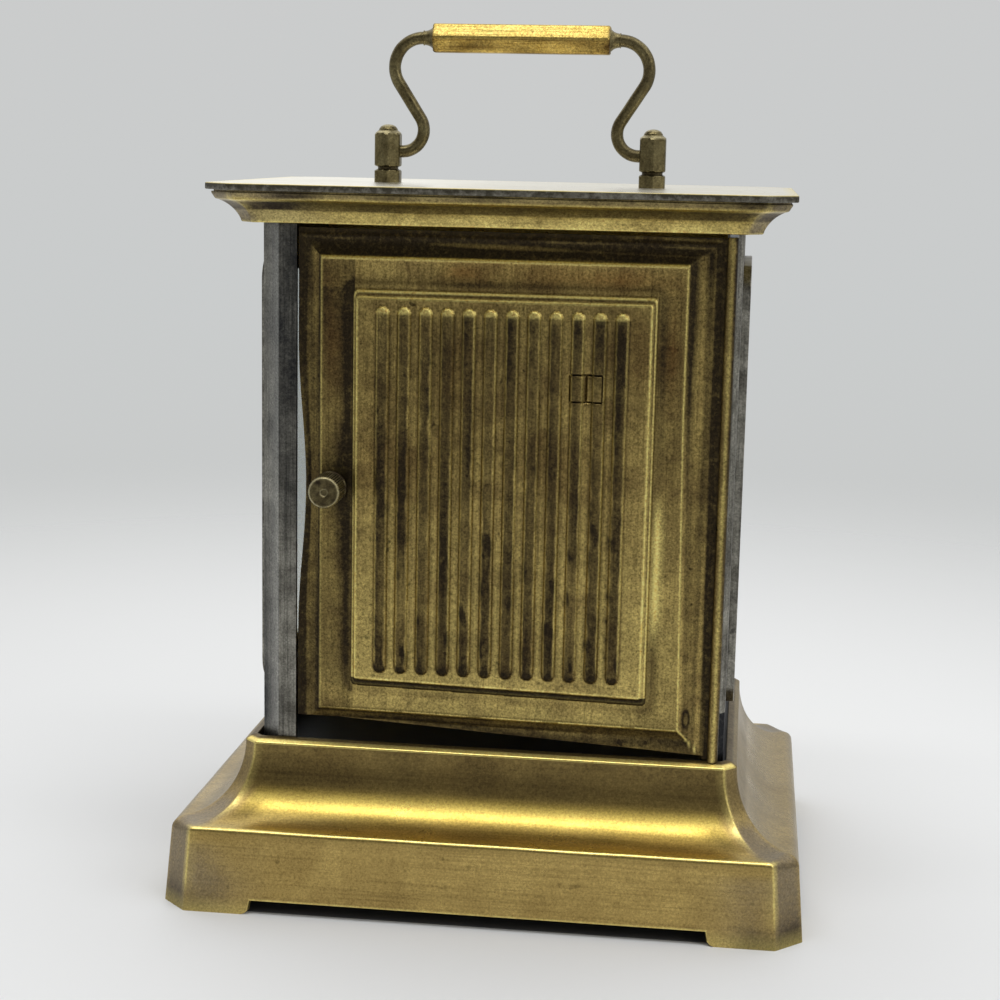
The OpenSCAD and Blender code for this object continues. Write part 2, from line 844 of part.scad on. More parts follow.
// Rim of the door in the XZ plane, with its bowed knob side and lifted corner
module door_outline() {
  bow = [for (i = [-8 : 8]) let (u = i / 8)
    [door_x1 - door_bow * (1 + cos(180 * u)) / 2, knob_z + bow_half * u]];
  polygon(concat([[hinge_x, door_z0], [door_x1, door_z0 + door_corner_lift]], bow, [[door_x1, door_z1], [hinge_x, door_z1]]));
}

// Outline of a pressed panel whose foot climbs towards the knob side
module panel_outline(x0, x1, z0, z1, tilt) {
  polygon([[x0, z0], [x1, z0 + tilt], [x1, z1], [x0, z1]]);
}

// Raised flat with sloping edges, standing rise out of level y
module raised_flat(x0, x1, z0, z1, tilt, y, rise, slope) {
  hull() {
    upright(y - eps, y)
      panel_outline(x0, x1, z0, z1, tilt);
    upright(y + rise - eps, y + rise)
      panel_outline(x0 + slope, x1 - slope, z0 + slope, z1 - slope, tilt);
  }
}

module door_rib(x) {
  r = rib_w / 2;
  y = panel_y + rib_rise - r;
  translate([x, y, panel_z0 + rib_margin]) {
    cylinder(r = r, h = panel_z1 - panel_z0 - 2 * rib_margin, $fn = 24);
    sphere(r, $fn = 24);
    translate([0, 0, panel_z1 - panel_z0 - 2 * rib_margin])
      sphere(r, $fn = 24);
  }
}

module rear_door() {
  t = door_sheet;
  barrel_z0 = door_z0 - 1.2;
  barrel_z1 = door_z1 + 0.2;
  color(brass)
    difference() {
      union() {
        difference() {
          union() {
            upright(sheet_y - t, sheet_y)
              door_outline();
            raised_flat(field_x0, field_x1, field_z0, field_z1, field_tilt, sheet_y, field_rise, bevel);
            raised_flat(panel_x0, panel_x1, panel_z0, panel_z1, 0, field_y, panel_rise, bevel);
            for (i = [0 : rib_count - 1])
              door_rib(rib_x0 + rib_pitch * i);
          }
          raised_flat(field_x0 + t, field_x1 - t, field_z0 + t, field_z1 - t, field_tilt, sheet_y - t, field_rise, bevel);
          upright(sheet_y - 2 * t, sheet_y - t)
            panel_outline(field_x0 + t, field_x1 - t, field_z0 + t, field_z1 - t, field_tilt);
          raised_flat(panel_x0 + t, panel_x1 - t, panel_z0 + t, panel_z1 - t, 0, field_y - t, panel_rise, bevel);
          for (z = [0, tab_h - slit])
            translate([tab_x, sheet_y, tab_z + z])
              cube([tab_w, 6, slit]);
          translate([tab_x + (tab_w - slit) / 2, sheet_y, tab_z])
            cube([slit, 6, tab_h]);
        }
        translate([hinge_x, hinge_y, barrel_z0])
          cylinder(d = barrel_d, h = barrel_z1 - barrel_z0);
      }
      for (z = [barrel_z0 - 1, barrel_z1 - pin_bite - 1])
        translate([hinge_x, hinge_y, z])
          cylinder(d = hinge_pin_d + 2 * run_gap, h = pin_bite + 2);
      bar_y([knob_x, knob_z], stem_d + 2 * run_gap, sheet_y - 2 * t, panel_y + 1);
    }
}

// Collar round the stem, on the field of the door
module knob_ferrule() {
  color(dark_brass)
    difference() {
      bar_y([knob_x, knob_z], stem_d + 2.4, field_y, field_y + ferrule_t);
      bar_y([knob_x, knob_z], stem_d + 2 * run_gap, field_y - 1, field_y + ferrule_t + 1);
    }
}

// Knurled knob on a stem that passes through the door
module door_knob() {
  y0 = field_y + ferrule_t + run_gap;
  r = knob_d / 2;
  color(dark_brass) {
    translate([knob_x, y0, knob_z])
      rotate([-90, 0, 0])
        rotate_extrude()
          polygon([[0, 0], [r - 0.3, 0], [r, 0.3], [r, 0.9], [r - 0.35, 1.1], [r - 0.35, 1.6], [r, 1.8],
            [r, knob_len - 0.4], [r - 0.4, knob_len], [0.9, knob_len], [0.5, knob_len - 0.4], [0, knob_len - 0.5]]);
    bar_y([knob_x, knob_z], stem_d, tongue_y, y0 + eps);
  }
}

module latch_tongue() {
  half = stem_d / 2 + 1.3;
  color(steel)
    difference() {
      translate([knob_x - half, tongue_y, knob_z - half])
        cube([2 * half, tongue_t, half + tongue_reach]);
      bar_y([knob_x, knob_z], stem_d, tongue_y - 1, tongue_y + tongue_t + 1);
    }
}

// Bent end of the handle's rod on the +X side, from the pivot to the top of the loop
module rod_side() {
  bar_x(curl_x - lap, post_x - post_flats / 2 + rod_reach, 0, pivot_z, rod_d);
  translate([curl_x, 0, curl_z])
    rotate([90, 0, 0])
      rotate([0, 0, arm_turn + 90])
        rotate_extrude(angle = 180 - arm_turn)
          translate([curl_r, 0])
            circle(d = rod_d - bend_draw);
  translate([curl_x + curl_r * cos(arm_turn + 90), 0, curl_z + curl_r * sin(arm_turn + 90)])
    rotate([0, 90 - arm_turn, 0])
      translate([0, 0, -lap])
        cylinder(d = rod_d, h = arm_len + 2 * lap);
  translate([loop_x, 0, loop_z])
    rotate([90, 0, 0])
      rotate([0, 0, arm_turn - 90])
        rotate_extrude(angle = 180 - arm_turn)
          translate([loop_r, 0])
            circle(d = rod_d - bend_draw);
}

module handle_rod() {
  color(dark_brass)
    union() {
      rod_side();
      mirror([1, 0, 0])
        rod_side();
      bar_x(-loop_x - lap, loop_x + lap, 0, grip_z, rod_d);
    }
}

module handle_grip() {
  color(gilt)
    difference() {
      translate([-grip_len / 2, 0, grip_z])
        rotate([0, 90, 0])
          rotate(30)
            cylinder(d = grip_flats / cos(30), h = grip_len, $fn = 6);
      bar_x(-grip_len / 2 - 1, grip_len / 2 + 1, 0, grip_z, rod_d);
    }
}

// Collars that run down from the grip to the rod in a hollow curve
module grip_collars() {
  foot = grip_flats / 2 - 0.7;
  tip = rod_d / 2 + 0.2;
  color(dark_brass)
    for (s = [0, 1])
      mirror([s, 0, 0])
        translate([grip_len / 2, 0, grip_z])
          rotate([0, 90, 0])
            rotate_extrude()
              polygon(concat([[rod_d / 2, collar_len], [rod_d / 2, 0]],
                [for (a = [0 : 15 : 90]) [mid(tip, foot, 1 - sin(a)), collar_len * (1 - cos(a))]]));
}

module dial_mask() {
  mask_half = case_w / 2 - pillar_sheet - frame_sheet;
  color(gilt)
    difference() {
      translate([-mask_half, mask_face, floor_z])
        cube([2 * mask_half, mask_t, case_h]);
      bar_y(centre_at, 8, mask_face - 1, mask_face + mask_t + 1);
      bar_y(alarm_at, 4, mask_face - 1, mask_face + mask_t + 1);
    }
}

module dial() {
  color("white")
    difference() {
      bar_y(centre_at, dial_d, dial_face, mask_face);
      bar_y(centre_at, 8, dial_face - 1, mask_face + 1);
      bar_y(alarm_at, 4, dial_face - 1, mask_face + 1);
    }
}

module dial_bezel() {
  r = dial_d / 2;
  color(gilt)
    translate([0, mask_face, dial_z])
      rotate([90, 0, 0])
        rotate_extrude()
          polygon([[r, 0], [r + 4, 0], [r + 3.6, 1.2], [r + 2.4, 2.2], [r + 1, 2.6], [r, 2]]);
}

// Hand drawn pointing up, turned clockwise as the reader of the dial sees it
module hand(at, clockwise, y, reach, width, hub, bore) {
  translate([at[0], y, at[1]])
    rotate([0, clockwise, 0])
      difference() {
        upright(0, hand_t) {
          polygon([[-width / 3, -reach / 6], [width / 3, -reach / 6], [width / 2, reach * 0.66],
            [width, reach * 0.74], [0, reach], [-width, reach * 0.74], [-width / 2, reach * 0.66]]);
          circle(hub);
        }
        bar_y([0, 0], bore, -1, hand_t + 1);
      }
}

module minute_hand() {
  color("#1d1f26")
    hand(centre_at, 60, minute_hand_y, minute_len, 1.5, 2.4, minute_arbor_d);
}

module hour_hand() {
  color("#1d1f26")
    hand(centre_at, 305, hour_hand_y, hour_len, 1.9, 3, hour_tube_d);
}

module alarm_hand() {
  color("#1d1f26")
    hand(alarm_at, 210, dial_face - 0.8, alarm_len, 0.9, 1.4, arbor_d);
}

// Arbor that carries the minute hand in front and the setting knob behind
module minute_arbor() {
  color(steel)
    bar_y(centre_at, minute_arbor_d, minute_hand_y - 0.4, rear_back + knob_reach);
  color(brass)
    wheel_at(centre_at, cannon_n, motion_m, minute_turn, 0, cannon_y, 1.4);
}

module minute_wheel() {
  color(brass)
    difference() {
      union() {
        crossed_wheel_at(minute_at, minute_n, motion_m, minute_turn + half_turn, 0.5, cannon_y, 1);
        wheel_at(minute_at, minute_pinion_n, motion_m, minute_turn + half_turn, 0.5, hour_wheel_y - 0.3, cannon_y - hour_wheel_y + 0.31);
        bar_y(minute_at, 2.2, cannon_y, front_face - 0.1);
      }
      bar_y(minute_at, pivot_d + 2 * run_gap, hour_wheel_y - 1, front_face);
    }
}

module hour_wheel() {
  color(brass)
    difference() {
      union() {
        crossed_wheel_at(centre_at, hour_n, motion_m, minute_turn, 0, hour_wheel_y, 0.9);
        bar_y(centre_at, hour_tube_d, hour_hand_y - 0.3, hour_wheel_y + 0.9);
      }
      bar_y(centre_at, minute_arbor_d + 2 * run_gap, hour_hand_y - 1, hour_wheel_y + 2);
    }
}

module hand_set_knob() {
  color(brass)
    difference() {
      bar_y(centre_at, set_knob_d, rear_back + knob_reach - 4, rear_back + knob_reach);
      bar_y(centre_at, minute_arbor_d, rear_back + knob_reach - 5, rear_back + knob_reach + 1);
    }
}

// Alarm arbor with the cam that trips the music
module alarm_arbor() {
  color(steel)
    bar_y(alarm_at, arbor_d, dial_face - 1.1, rear_back + knob_reach - 2);
  color(brass)
    difference() {
      bar_y(alarm_at, 2 * cam_r, front_face - 2.2, front_face - 0.9);
      bar_y(alarm_at, arbor_d, front_face - 3, front_face);
    }
}

module alarm_set_knob() {
  color(brass)
    difference() {
      bar_y(alarm_at, alarm_knob_d, rear_back + knob_reach - 5.5, rear_back + knob_reach - 2);
      bar_y(alarm_at, arbor_d, rear_back + knob_reach - 6, rear_back + knob_reach);
    }
}

module plate_sheet(y0) {
  translate([-plate_w / 2, y0, plate_z - plate_h / 2])
    cube([plate_w, plate_t, plate_h]);
}

module plate_holes(y0) {
  for (at = arbors)
    bar_y(at, (at == barrel_at ? key_d : pivot_d) + 2 * run_gap, y0 - 1, y0 + plate_t + 1);
  bar_y(centre_at, minute_arbor_d + 2 * run_gap, y0 - 1, y0 + plate_t + 1);
  bar_y(alarm_at, arbor_d + 2 * run_gap, y0 - 1, y0 + plate_t + 1);
}

// Corners of the plates that the spacing pillars stand in
function plate_corners() = [for (x = [-1, 1]) for (z = [-1, 1])
  [x * (plate_w / 2 - 3.5), plate_z + z * (plate_h / 2 - 3.5)]];

module front_movement_plate() {
  color(brass)
    difference() {
      union() {
        plate_sheet(front_face);
        for (at = plate_corners())
          bar_y(at, 4, front_face - motion_gap, front_face);
        bar_y(minute_at, pivot_d, hour_wheel_y - 0.3, front_face);
        bar_y(lever_at, pivot_d, lever_y - 1, front_face);
      }
      plate_holes(front_face);
    }
}

module rear_movement_plate() {
  color(brass)
    difference() {
      plate_sheet(rear_face);
      plate_holes(rear_face);
      for (at = plate_corners())
        bar_y(at, 2.2, rear_face - 1, rear_back + 1);
    }
}

module plate_pillars() {
  color(brass)
    for (at = plate_corners()) {
      bar_y(at, 4.4, front_back, rear_face);
      bar_y(at, 2.2, rear_face - eps, rear_back + 2.2);
    }
}

module pillar_nuts() {
  color(steel)
    for (at = plate_corners())
      difference() {
        translate([at[0], rear_back, at[1]])
          rotate([-90, 0, 0])
            cylinder(d = 4.8, h = 1.6, $fn = 6);
        bar_y(at, 2.2, rear_back - 1, rear_back + 2);
      }
}

// Drum of the mainspring with its toothed flange, turning on the winding arbor
module going_barrel() {
  color(gilt)
    difference() {
      union() {
        bar_y(barrel_at, drum_d, drum_y, barrel_wheel_y + eps);
        wheel_at(barrel_at, barrel_n, going_m, barrel_turn + half_turn, 0, barrel_wheel_y, 1.8);
        bar_y(barrel_at, 8, barrel_wheel_y, rear_face - 0.4);
      }
      bar_y(barrel_at, key_d + 2 * run_gap, drum_y - 1, rear_face);
      difference() {
        bar_y(barrel_at, drum_d - 2, drum_y + 1, barrel_wheel_y - 1);
        bar_y(barrel_at, key_d + 3, drum_y, barrel_wheel_y);
      }
    }
}

module barrel_arbor() {
  color(steel) {
    bar_y(barrel_at, key_d, front_face + 0.1, rear_back + 4);
    translate([barrel_at[0] - winding_square / 2, rear_back + 4 - eps, barrel_at[1] - winding_square / 2])
      cube([winding_square, 5, winding_square]);
  }
}

// Winged key seated on the square of the barrel arbor
module time_winding_key() {
  y0 = rear_back + 4;
  color(brass)
    difference() {
      union() {
        bar_y(barrel_at, key_hub_d, y0, y0 + 9);
        upright(y0 + 5, y0 + 13)
          translate(barrel_at)
            square([key_span, 1.6], center = true);
        for (s = [-1, 1])
          translate([barrel_at[0] + s * (key_span / 2 - 1), y0 + 9, barrel_at[1] - 0.8])
            cylinder(r = 4.6, h = 1.6);
      }
      translate([barrel_at[0] - winding_square / 2, y0 - 1, barrel_at[1] - winding_square / 2])
        cube([winding_square, 6, winding_square]);
    }
}

module centre_wheel() {
  color(brass)
    difference() {
      union() {
        wheel_at(centre_at, centre_pinion_n, going_m, barrel_turn, 0.5, centre_pinion_y, centre_pinion_len);
        bar_y(centre_at, hour_tube_d, front_back + 0.2, rear_face - 0.2);
        crossed_wheel_at(centre_at, centre_n, centre_m, third_turn, 0, centre_wheel_y, wheel_t);
      }
      bar_y(centre_at, minute_arbor_d + 2 * run_gap, front_back - 1, rear_back);
    }
}

module third_wheel() {
  color(brass) {
    pivoted_arbor(third_at);
    wheel_at(third_at, third_pinion_n, centre_m, third_turn + half_turn, 0.5, third_pinion_y, wheel_t + 1.6);
    crossed_wheel_at(third_at, third_n, third_m, fourth_turn, 0, third_wheel_y, wheel_t);
  }
}

module fourth_wheel() {
  color(brass) {
    pivoted_arbor(fourth_at);
    wheel_at(fourth_at, fourth_pinion_n, third_m, fourth_turn + half_turn, 0.5, fourth_pinion_y, wheel_t + 1.4);
    crossed_wheel_at(fourth_at, fourth_n, fourth_m, escape_turn, 0, fourth_wheel_y, wheel_t);
  }
}

// Escape wheel with fifteen raked teeth
module escape_wheel() {
  teeth = 15;
  tip = escape_d / 2;
  color(brass) {
    pivoted_arbor(escape_at, pivot_d);
    wheel_at(escape_at, escape_pinion_n, fourth_m, escape_turn + half_turn, 0.5, escape_pinion_y, wheel_t + 1.4);
    translate([escape_at[0], escape_wheel_y, escape_at[1]])
      rotate([-90, 0, 0])
        linear_extrude(wheel_t)
          difference() {
            polygon([for (i = [0 : teeth - 1]) for (p = [[tip - 1.6, 0], [tip, 0.1], [tip, 0.22], [tip - 1.6, 0.6]])
              [p[0] * cos(24 * (i + p[1])), p[0] * sin(24 * (i + p[1]))]]);
            crossings(tip - 2.4, 1.8, 4, 0.9);
          }
  }
}

// Lever with two pallet pins and a fork that reaches towards the balance
module pallet_lever() {
  reach = 5.2;
  pin_at = [for (s = [-1, 1]) off(pallet_at, 4.6, 270 + s * 42)];
  color(steel)
    union() {
      pivoted_arbor(pallet_at);
      upright(pallet_y - 1.4, pallet_y - 0.4) {
        translate(pallet_at)
          circle(1.8);
        for (p = pin_at)
          hull() {
            translate(pallet_at)
              circle(1, $fn = 16);
            translate(p)
              circle(0.7, $fn = 16);
          }
        hull() {
          translate(pallet_at)
            circle(1, $fn = 16);
          translate(off(pallet_at, reach, 6))
            circle(0.5, $fn = 16);
        }
      }
      for (p = pin_at)
        bar_y(p, 0.6, pallet_y - 1.4, pallet_y + 1);
    }
}

module balance_wheel() {
  color(gilt) {
    pivoted_arbor(balance_at);
    translate([balance_at[0], balance_y, balance_at[1]])
      rotate([-90, 0, 0])
        linear_extrude(1)
          difference() {
            circle(d = balance_d);
            crossings(balance_d / 2 - 1.1, 1.8, 2, 1.4);
          }
  }
}

// Flat spiral of steel strip pinned to the balance's arbor
module hairspring() {
  coils = 5;
  inner = 1.2;
  pitch = 0.9;
  strip = 0.25;
  steps = 24;
  path = [for (i = [0 : coils * steps]) let (a = 360 * i / steps, r = inner + pitch * i / steps) [r, a]];
  outer = [for (p = path) [(p[0] + strip / 2) * cos(p[1]), (p[0] + strip / 2) * sin(p[1])]];
  inside = [for (i = [len(path) - 1 : -1 : 0]) let (p = path[i])
    [(p[0] - strip / 2) * cos(p[1]), (p[0] - strip / 2) * sin(p[1])]];
  color(steel)
    difference() {
      translate([balance_at[0], hairspring_y, balance_at[1]])
        rotate([-90, 0, 0])
          linear_extrude(0.6) {
            polygon(concat(outer, inside));
            circle(inner + strip);
          }
      bar_y(balance_at, arbor_d, hairspring_y - 1, hairspring_y + 2);
    }
}

// Ear that rises from the bedplate and holds a shaft along X
module bed_ear(x, y, z, w, bore) {
  difference() {
    translate([x, y - w / 2, bed_z])
      cube([ear_t, w, z - bed_z + 2.2]);
    bar_x(x - 1, x + ear_t + 1, y, z, bore + 2 * run_gap);
  }
}

module music_bedplate() {
  color(brass)
    difference() {
      union() {
        translate([-bed_l / 2, -bed_d / 2, bed_z])
          cube([bed_l, bed_d, bed_t]);
        bed_ear(cylinder_x1 + 0.4, 0, cylinder_z, 6, cylinder_shaft_d);
        bed_ear(great_x - 3.2, 0, cylinder_z, 6, cylinder_shaft_d);
        bed_ear(governor_x - 3.2, governor_y, cylinder_z, 4, pivot_d);
        bed_ear(great_x + 2, governor_y, cylinder_z, 4, pivot_d);
        translate([governor_x - 3.2, worm_y - 2.5, bed_z])
          cube([6.4, 5, 3]);
        translate([cylinder_x0 + 1, cylinder_d / 2 + 3.2, bed_z])
          cube([cylinder_len - 2, comb_len - 7, cylinder_z - bed_z - 0.5]);
      }
      translate([crown_x, 0, bed_z - 1])
        cylinder(d = key_d + 2 * run_gap, h = bed_t + 2);
      translate([governor_x, worm_y, bed_z + bed_t])
        cylinder(d = pivot_d + 2 * run_gap, h = 3);
    }
}

// Cylinder with rows of pins, its driving pinion and its great wheel
module music_cylinder() {
  rows = 11;
  color(gilt) {
    bar_x(cylinder_x0, cylinder_x1, 0, cylinder_z, cylinder_d);
    for (i = [0 : rows - 1])
      translate([cylinder_x0 + 2.5 + i * (cylinder_len - 5) / (rows - 1), 0, cylinder_z])
        rotate([(i * 137) % 360, 0, 0])
          cylinder(d = 0.5, h = cylinder_d / 2 + 0.5, $fn = 8);
  }
  color(brass) {
    bar_x(great_x - 3.4, pinion_x + 1.4, 0, cylinder_z, cylinder_shaft_d);
    translate([great_x, 0, cylinder_z])
      rotate([0, 90, 0])
        rotate([0, 0, 90])
          linear_extrude(1.2)
            difference() {
              rotate(180)
                toothed(great_n, great_m);
              crossings(great_m * (great_n / 2 - 3.4), 2.4, 4, 1.2);
            }
    translate([pinion_x - 0.9, 0, cylinder_z])
      rotate([0, 90, 0])
        linear_extrude(1.8)
          toothed(music_pinion_n, crown_m);
  }
}

// Tuned steel comb on its block, teeth towards the cylinder
module music_comb() {
  pitch = (cylinder_len - 2) / comb_teeth;
  y0 = cylinder_d / 2 + 0.8;
  color("#9aa0a6")
    difference() {
      translate([cylinder_x0 + 1, y0, cylinder_z - 0.5])
        cube([cylinder_len - 2, comb_len, 1.2]);
      for (i = [1 : comb_teeth - 1])
        translate([cylinder_x0 + 1 + i * pitch - 0.15, y0 - 1, cylinder_z - 1])
          cube([0.3, comb_len - 6, 2.4]);
    }
}

// Upright spring barrel whose crown teeth drive the cylinder
module music_barrel() {
  tooth = 360 / crown_n;
  color(gilt)
    difference() {
      union() {
        translate([crown_x, 0, music_barrel_z])
          cylinder(r = crown_r + 1, h = music_barrel_h);
        for (i = [0 : crown_n - 1])
          translate([crown_x, 0, crown_top - eps])
            rotate(tooth * (i + 0.5))
              translate([crown_r - 0.8, -crown_tooth_w / 2, 0])
                cube([1.6, crown_tooth_w, crown_tooth_h + eps]);
      }
      translate([crown_x, 0, music_barrel_z - 1])
        cylinder(d = key_d + 2 * run_gap, h = music_barrel_h + 2);
    }
}

// Key that is turned from below, flat enough to stay above the table
module music_winding_key() {
  hub_z = 0.9;
  color(brass) {
    translate([crown_x, 0, hub_z])
      cylinder(d = key_d, h = crown_top + 0.5 - hub_z);
    translate([crown_x, 0, hub_z])
      cylinder(d = key_hub_d, h = 2);
    translate([crown_x - music_key_span / 2, -2, hub_z])
      cube([music_key_span, 4, 1.4]);
  }
}

module governor_wheel() {
  color(brass) {
    bar_x(governor_x - 3.1, great_x + 3.5, governor_y, cylinder_z, pivot_d);
    translate([great_x - 0.3, governor_y, cylinder_z])
      rotate([0, 90, 0])
        rotate([0, 0, 90])
          linear_extrude(1.8)
            rotate(180 / governor_pinion_n)
              toothed(governor_pinion_n, great_m);
    translate([governor_x - 0.6, governor_y, cylinder_z])
      rotate([0, 90, 0])
        linear_extrude(1.2)
          toothed(governor_n, worm_m);
  }
}

// Upright worm, drawn as rings, with the two vanes of the air brake
module governor_fan() {
  worm_len = 6;
  worm_threads = 6;
  worm_z = cylinder_z - worm_len / 2;
  color(steel)
    union() {
      translate([governor_x, worm_y, bed_z + bed_t + 0.1])
        cylinder(d = pivot_d, h = 1.7);
      translate([governor_x, worm_y, bed_z + 3])
        cylinder(d = pivot_d, h = cylinder_z + 7 - bed_z - 3);
      translate([governor_x, worm_y, worm_z])
        rotate_extrude()
          polygon(concat([[0, 0]], [for (i = [0 : 2 * worm_threads])
            [i % 2 == 0 ? worm_d / 2 - 0.6 : worm_d / 2, i * worm_len / (2 * worm_threads)]], [[0, worm_len]]));
      translate([governor_x - 4.5, worm_y - 0.25, cylinder_z + 4.2])
        cube([9, 0.5, 2.8]);
    }
}

// Lever from the alarm cam down to the air brake, pivoted on the front plate
module release_lever() {
  color(steel)
    difference() {
      upright(lever_y - lever_t / 2, lever_y + lever_t / 2) {
        translate([lever_at[0] - 1, lever_bottom])
          square([2, alarm_at[1] - lever_bottom]);
        translate(lever_at)
          circle(2.6);
        translate([lever_at[0] - 1, alarm_at[1] - 2])
          square([-lever_at[0] - cam_r + 0.3, 2]);
        translate([lever_at[0] - 14, lever_bottom])
          square([15, 2]);
      }
      bar_y(lever_at, pivot_d + 2 * run_gap, lever_y - 2, lever_y + 2);
    }
}

base_plinth();
base_bottom_plate();
case_floor();
pillar_front_left();
pillar_front_right();
pillar_rear_left();
pillar_rear_right();
side_frame_left();
side_frame_right();
side_glass_left();
side_glass_right();
front_frame();
front_glass();
cornice();
lid_plate();
handle_post_left();
handle_post_right();
post_nuts();
hinge_pins();
rear_door();
knob_ferrule();
door_knob();
latch_tongue();
handle_rod();
handle_grip();
grip_collars();
dial_mask();
dial();
dial_bezel();
minute_hand();
hour_hand();
alarm_hand();
minute_arbor();
minute_wheel();
hour_wheel();
hand_set_knob();
alarm_arbor();
alarm_set_knob();
front_movement_plate();
rear_movement_plate();
plate_pillars();
pillar_nuts();
going_barrel();
barrel_arbor();
time_winding_key();
centre_wheel();
third_wheel();
fourth_wheel();
escape_wheel();
pallet_lever();
balance_wheel();
hairspring();
music_bedplate();
music_cylinder();
music_comb();
music_barrel();
music_winding_key();
governor_wheel();
governor_fan();
release_lever();
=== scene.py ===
"""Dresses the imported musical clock: pressed brass, nickel pillars, ribbed door, dial and movement.

All shapes are in millimetres in this file and become metres where a mesh is made. The dial faces -Y,
the ribbed rear door faces +Y and +Z is up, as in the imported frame.
"""

import logging
import math
from collections.abc import Callable
from dataclasses import dataclass, field
from enum import Enum

import bmesh
import bpy
import numpy as np
from mathutils import Matrix, Vector


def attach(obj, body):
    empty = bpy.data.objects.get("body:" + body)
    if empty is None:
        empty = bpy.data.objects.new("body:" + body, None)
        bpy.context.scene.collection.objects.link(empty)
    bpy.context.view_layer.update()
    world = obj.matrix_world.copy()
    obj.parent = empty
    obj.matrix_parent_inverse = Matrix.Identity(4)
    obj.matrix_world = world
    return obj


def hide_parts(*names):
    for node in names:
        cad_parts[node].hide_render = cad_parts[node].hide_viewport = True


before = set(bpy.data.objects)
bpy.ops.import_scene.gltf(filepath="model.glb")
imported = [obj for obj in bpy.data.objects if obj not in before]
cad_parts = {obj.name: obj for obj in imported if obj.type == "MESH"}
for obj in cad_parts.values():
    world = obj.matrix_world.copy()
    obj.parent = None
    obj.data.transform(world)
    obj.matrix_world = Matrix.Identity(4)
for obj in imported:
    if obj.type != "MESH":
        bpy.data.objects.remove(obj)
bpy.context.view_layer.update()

MM = 0.001
SIDE_NAMES = {1: "right", -1: "left"}
# A box as (least x, greatest x, least z, greatest z), or an oval as (x, z, half width, half height)
Four = tuple[float, float, float, float]
# Named values per point that steer a finish
Shades = dict[str, np.ndarray]
Tree, Socket = bpy.types.NodeTree, bpy.types.NodeSocket
# Points of a softened copy closer than this many metres are one point
MERGE_DISTANCE = 1e-6
# Degrees above which an edge of a softened copy stays sharp
SOFT_EDGE_LIMIT = 60
# Sizes of the metals' patterns in millimetres. Real brushing and grit are finer; they are as coarse as shows
PIT_MM, PATCH_MM, GRIT_MM, STROKE_MM = 2.4, 1.1, 0.5, 1.6
# Blender's names of the nodes that are used most
NOISE, MIX, RANGE = "ShaderNodeTexNoise", "ShaderNodeMix", "ShaderNodeMapRange"
MATH, BUMP, PRINCIPLED = "ShaderNodeMath", "ShaderNodeBump", "ShaderNodeBsdfPrincipled"
log = logging.getLogger("clock")


class Grain(Enum):
    """Direction in which a metal surface was brushed or drawn."""

    ALONG_X = (0.06, 2.6, 2.6)
    ALONG_Y = (2.6, 0.06, 2.6)
    ALONG_Z = (2.6, 2.6, 0.06)
    NONE = (1.4, 1.4, 1.4)


def hex_colour(code: str) -> tuple[float, float, float, float]:
    """Turns an sRGB hex value into linear RGBA.

    Args:
        code: Six hex digits, with or without a leading hash.

    Returns:
        Linear red, green, blue and an alpha of 1.
    """
    digits = code.lstrip("#")
    parts = [int(digits[i:i + 2], 16) / 255 for i in (0, 2, 4)]
    linear = [c / 12.92 if c <= 0.04045 else ((c + 0.055) / 1.055) ** 2.4 for c in parts]
    return (*linear, 1.0)


def add(tree: Tree, kind: str, sockets: dict | None = None,
        **settings: object) -> bpy.types.Node:
    """Adds a node, sets its properties, and fills or links its inputs.

    Args:
        tree: Node tree that the node goes into.
        kind: Blender's type name of the node.
        sockets: Input name or index to a value, or to the output socket that feeds it.
        **settings: Properties of the node.

    Returns:
        The new node.
    """
    made = tree.nodes.new(kind)
    for name, value in settings.items():
        setattr(made, name, value)
    for key, value in (sockets or {}).items():
        if isinstance(value, Socket):
            tree.links.new(value, made.inputs[key])
        else:
            made.inputs[key].default_value = value
    return made


def wave_noise(x: np.ndarray, y: np.ndarray, scale: float, seed: int) -> np.ndarray:
    """Smooth unevenness between about -1 and 1: a sum of seven plane waves in seeded directions.

    Args:
        x: First coordinate in millimetres.
        y: Second coordinate in millimetres.
        scale: Typical length of a wave in millimetres.
        seed: Seed of the directions and phases.

    Returns:
        The height at each point.
    """
    rng = np.random.default_rng(seed)
    total = np.zeros(np.broadcast(x, y).shape)
    for _ in range(7):
        angle, phase = rng.uniform(0, 2 * np.pi, 2)
        rate = 2 * np.pi / (scale * rng.uniform(0.6, 1.7))
        total += np.sin(rate * (x * np.cos(angle) + y * np.sin(angle)) + phase)
    return total / 3.2


def smooth_step(low: float, high: float, value: np.ndarray) -> np.ndarray:
    """Cubic step: 0 on low's side, 1 on high's side, 3t^2 - 2t^3 between; low may be the greater one."""
    t = np.clip((value - low) / (high - low), 0, 1)
    return t * t * (3 - 2 * t)


def peak(value: np.ndarray, at: float, width: float) -> np.ndarray:
    """Bell curve e^-((value - at) / width)^2: 1 at its place and nearly nothing two widths from it."""
    return np.exp(-((value - at) / width) ** 2)


def spot(x: np.ndarray, z: np.ndarray, place: Four) -> np.ndarray:
    """Oval bell curve round (x, z) with a width and a height: the product of one along X and one along Z."""
    return peak(x, place[0], place[2]) * peak(z, place[1], place[3])


def blank_material(name: str) -> tuple[bpy.types.Material, Tree, Socket]:
    """Makes a material with an empty node tree.

    Args:
        name: Name of the material.

    Returns:
        The material, its tree and the object coordinates, which every pattern is laid on.
    """
    material = bpy.data.materials.new(name)
    material.use_nodes = True
    tree = material.node_tree
    tree.nodes.clear()
    return material, tree, add(tree, "ShaderNodeTexCoord").outputs["Object"]


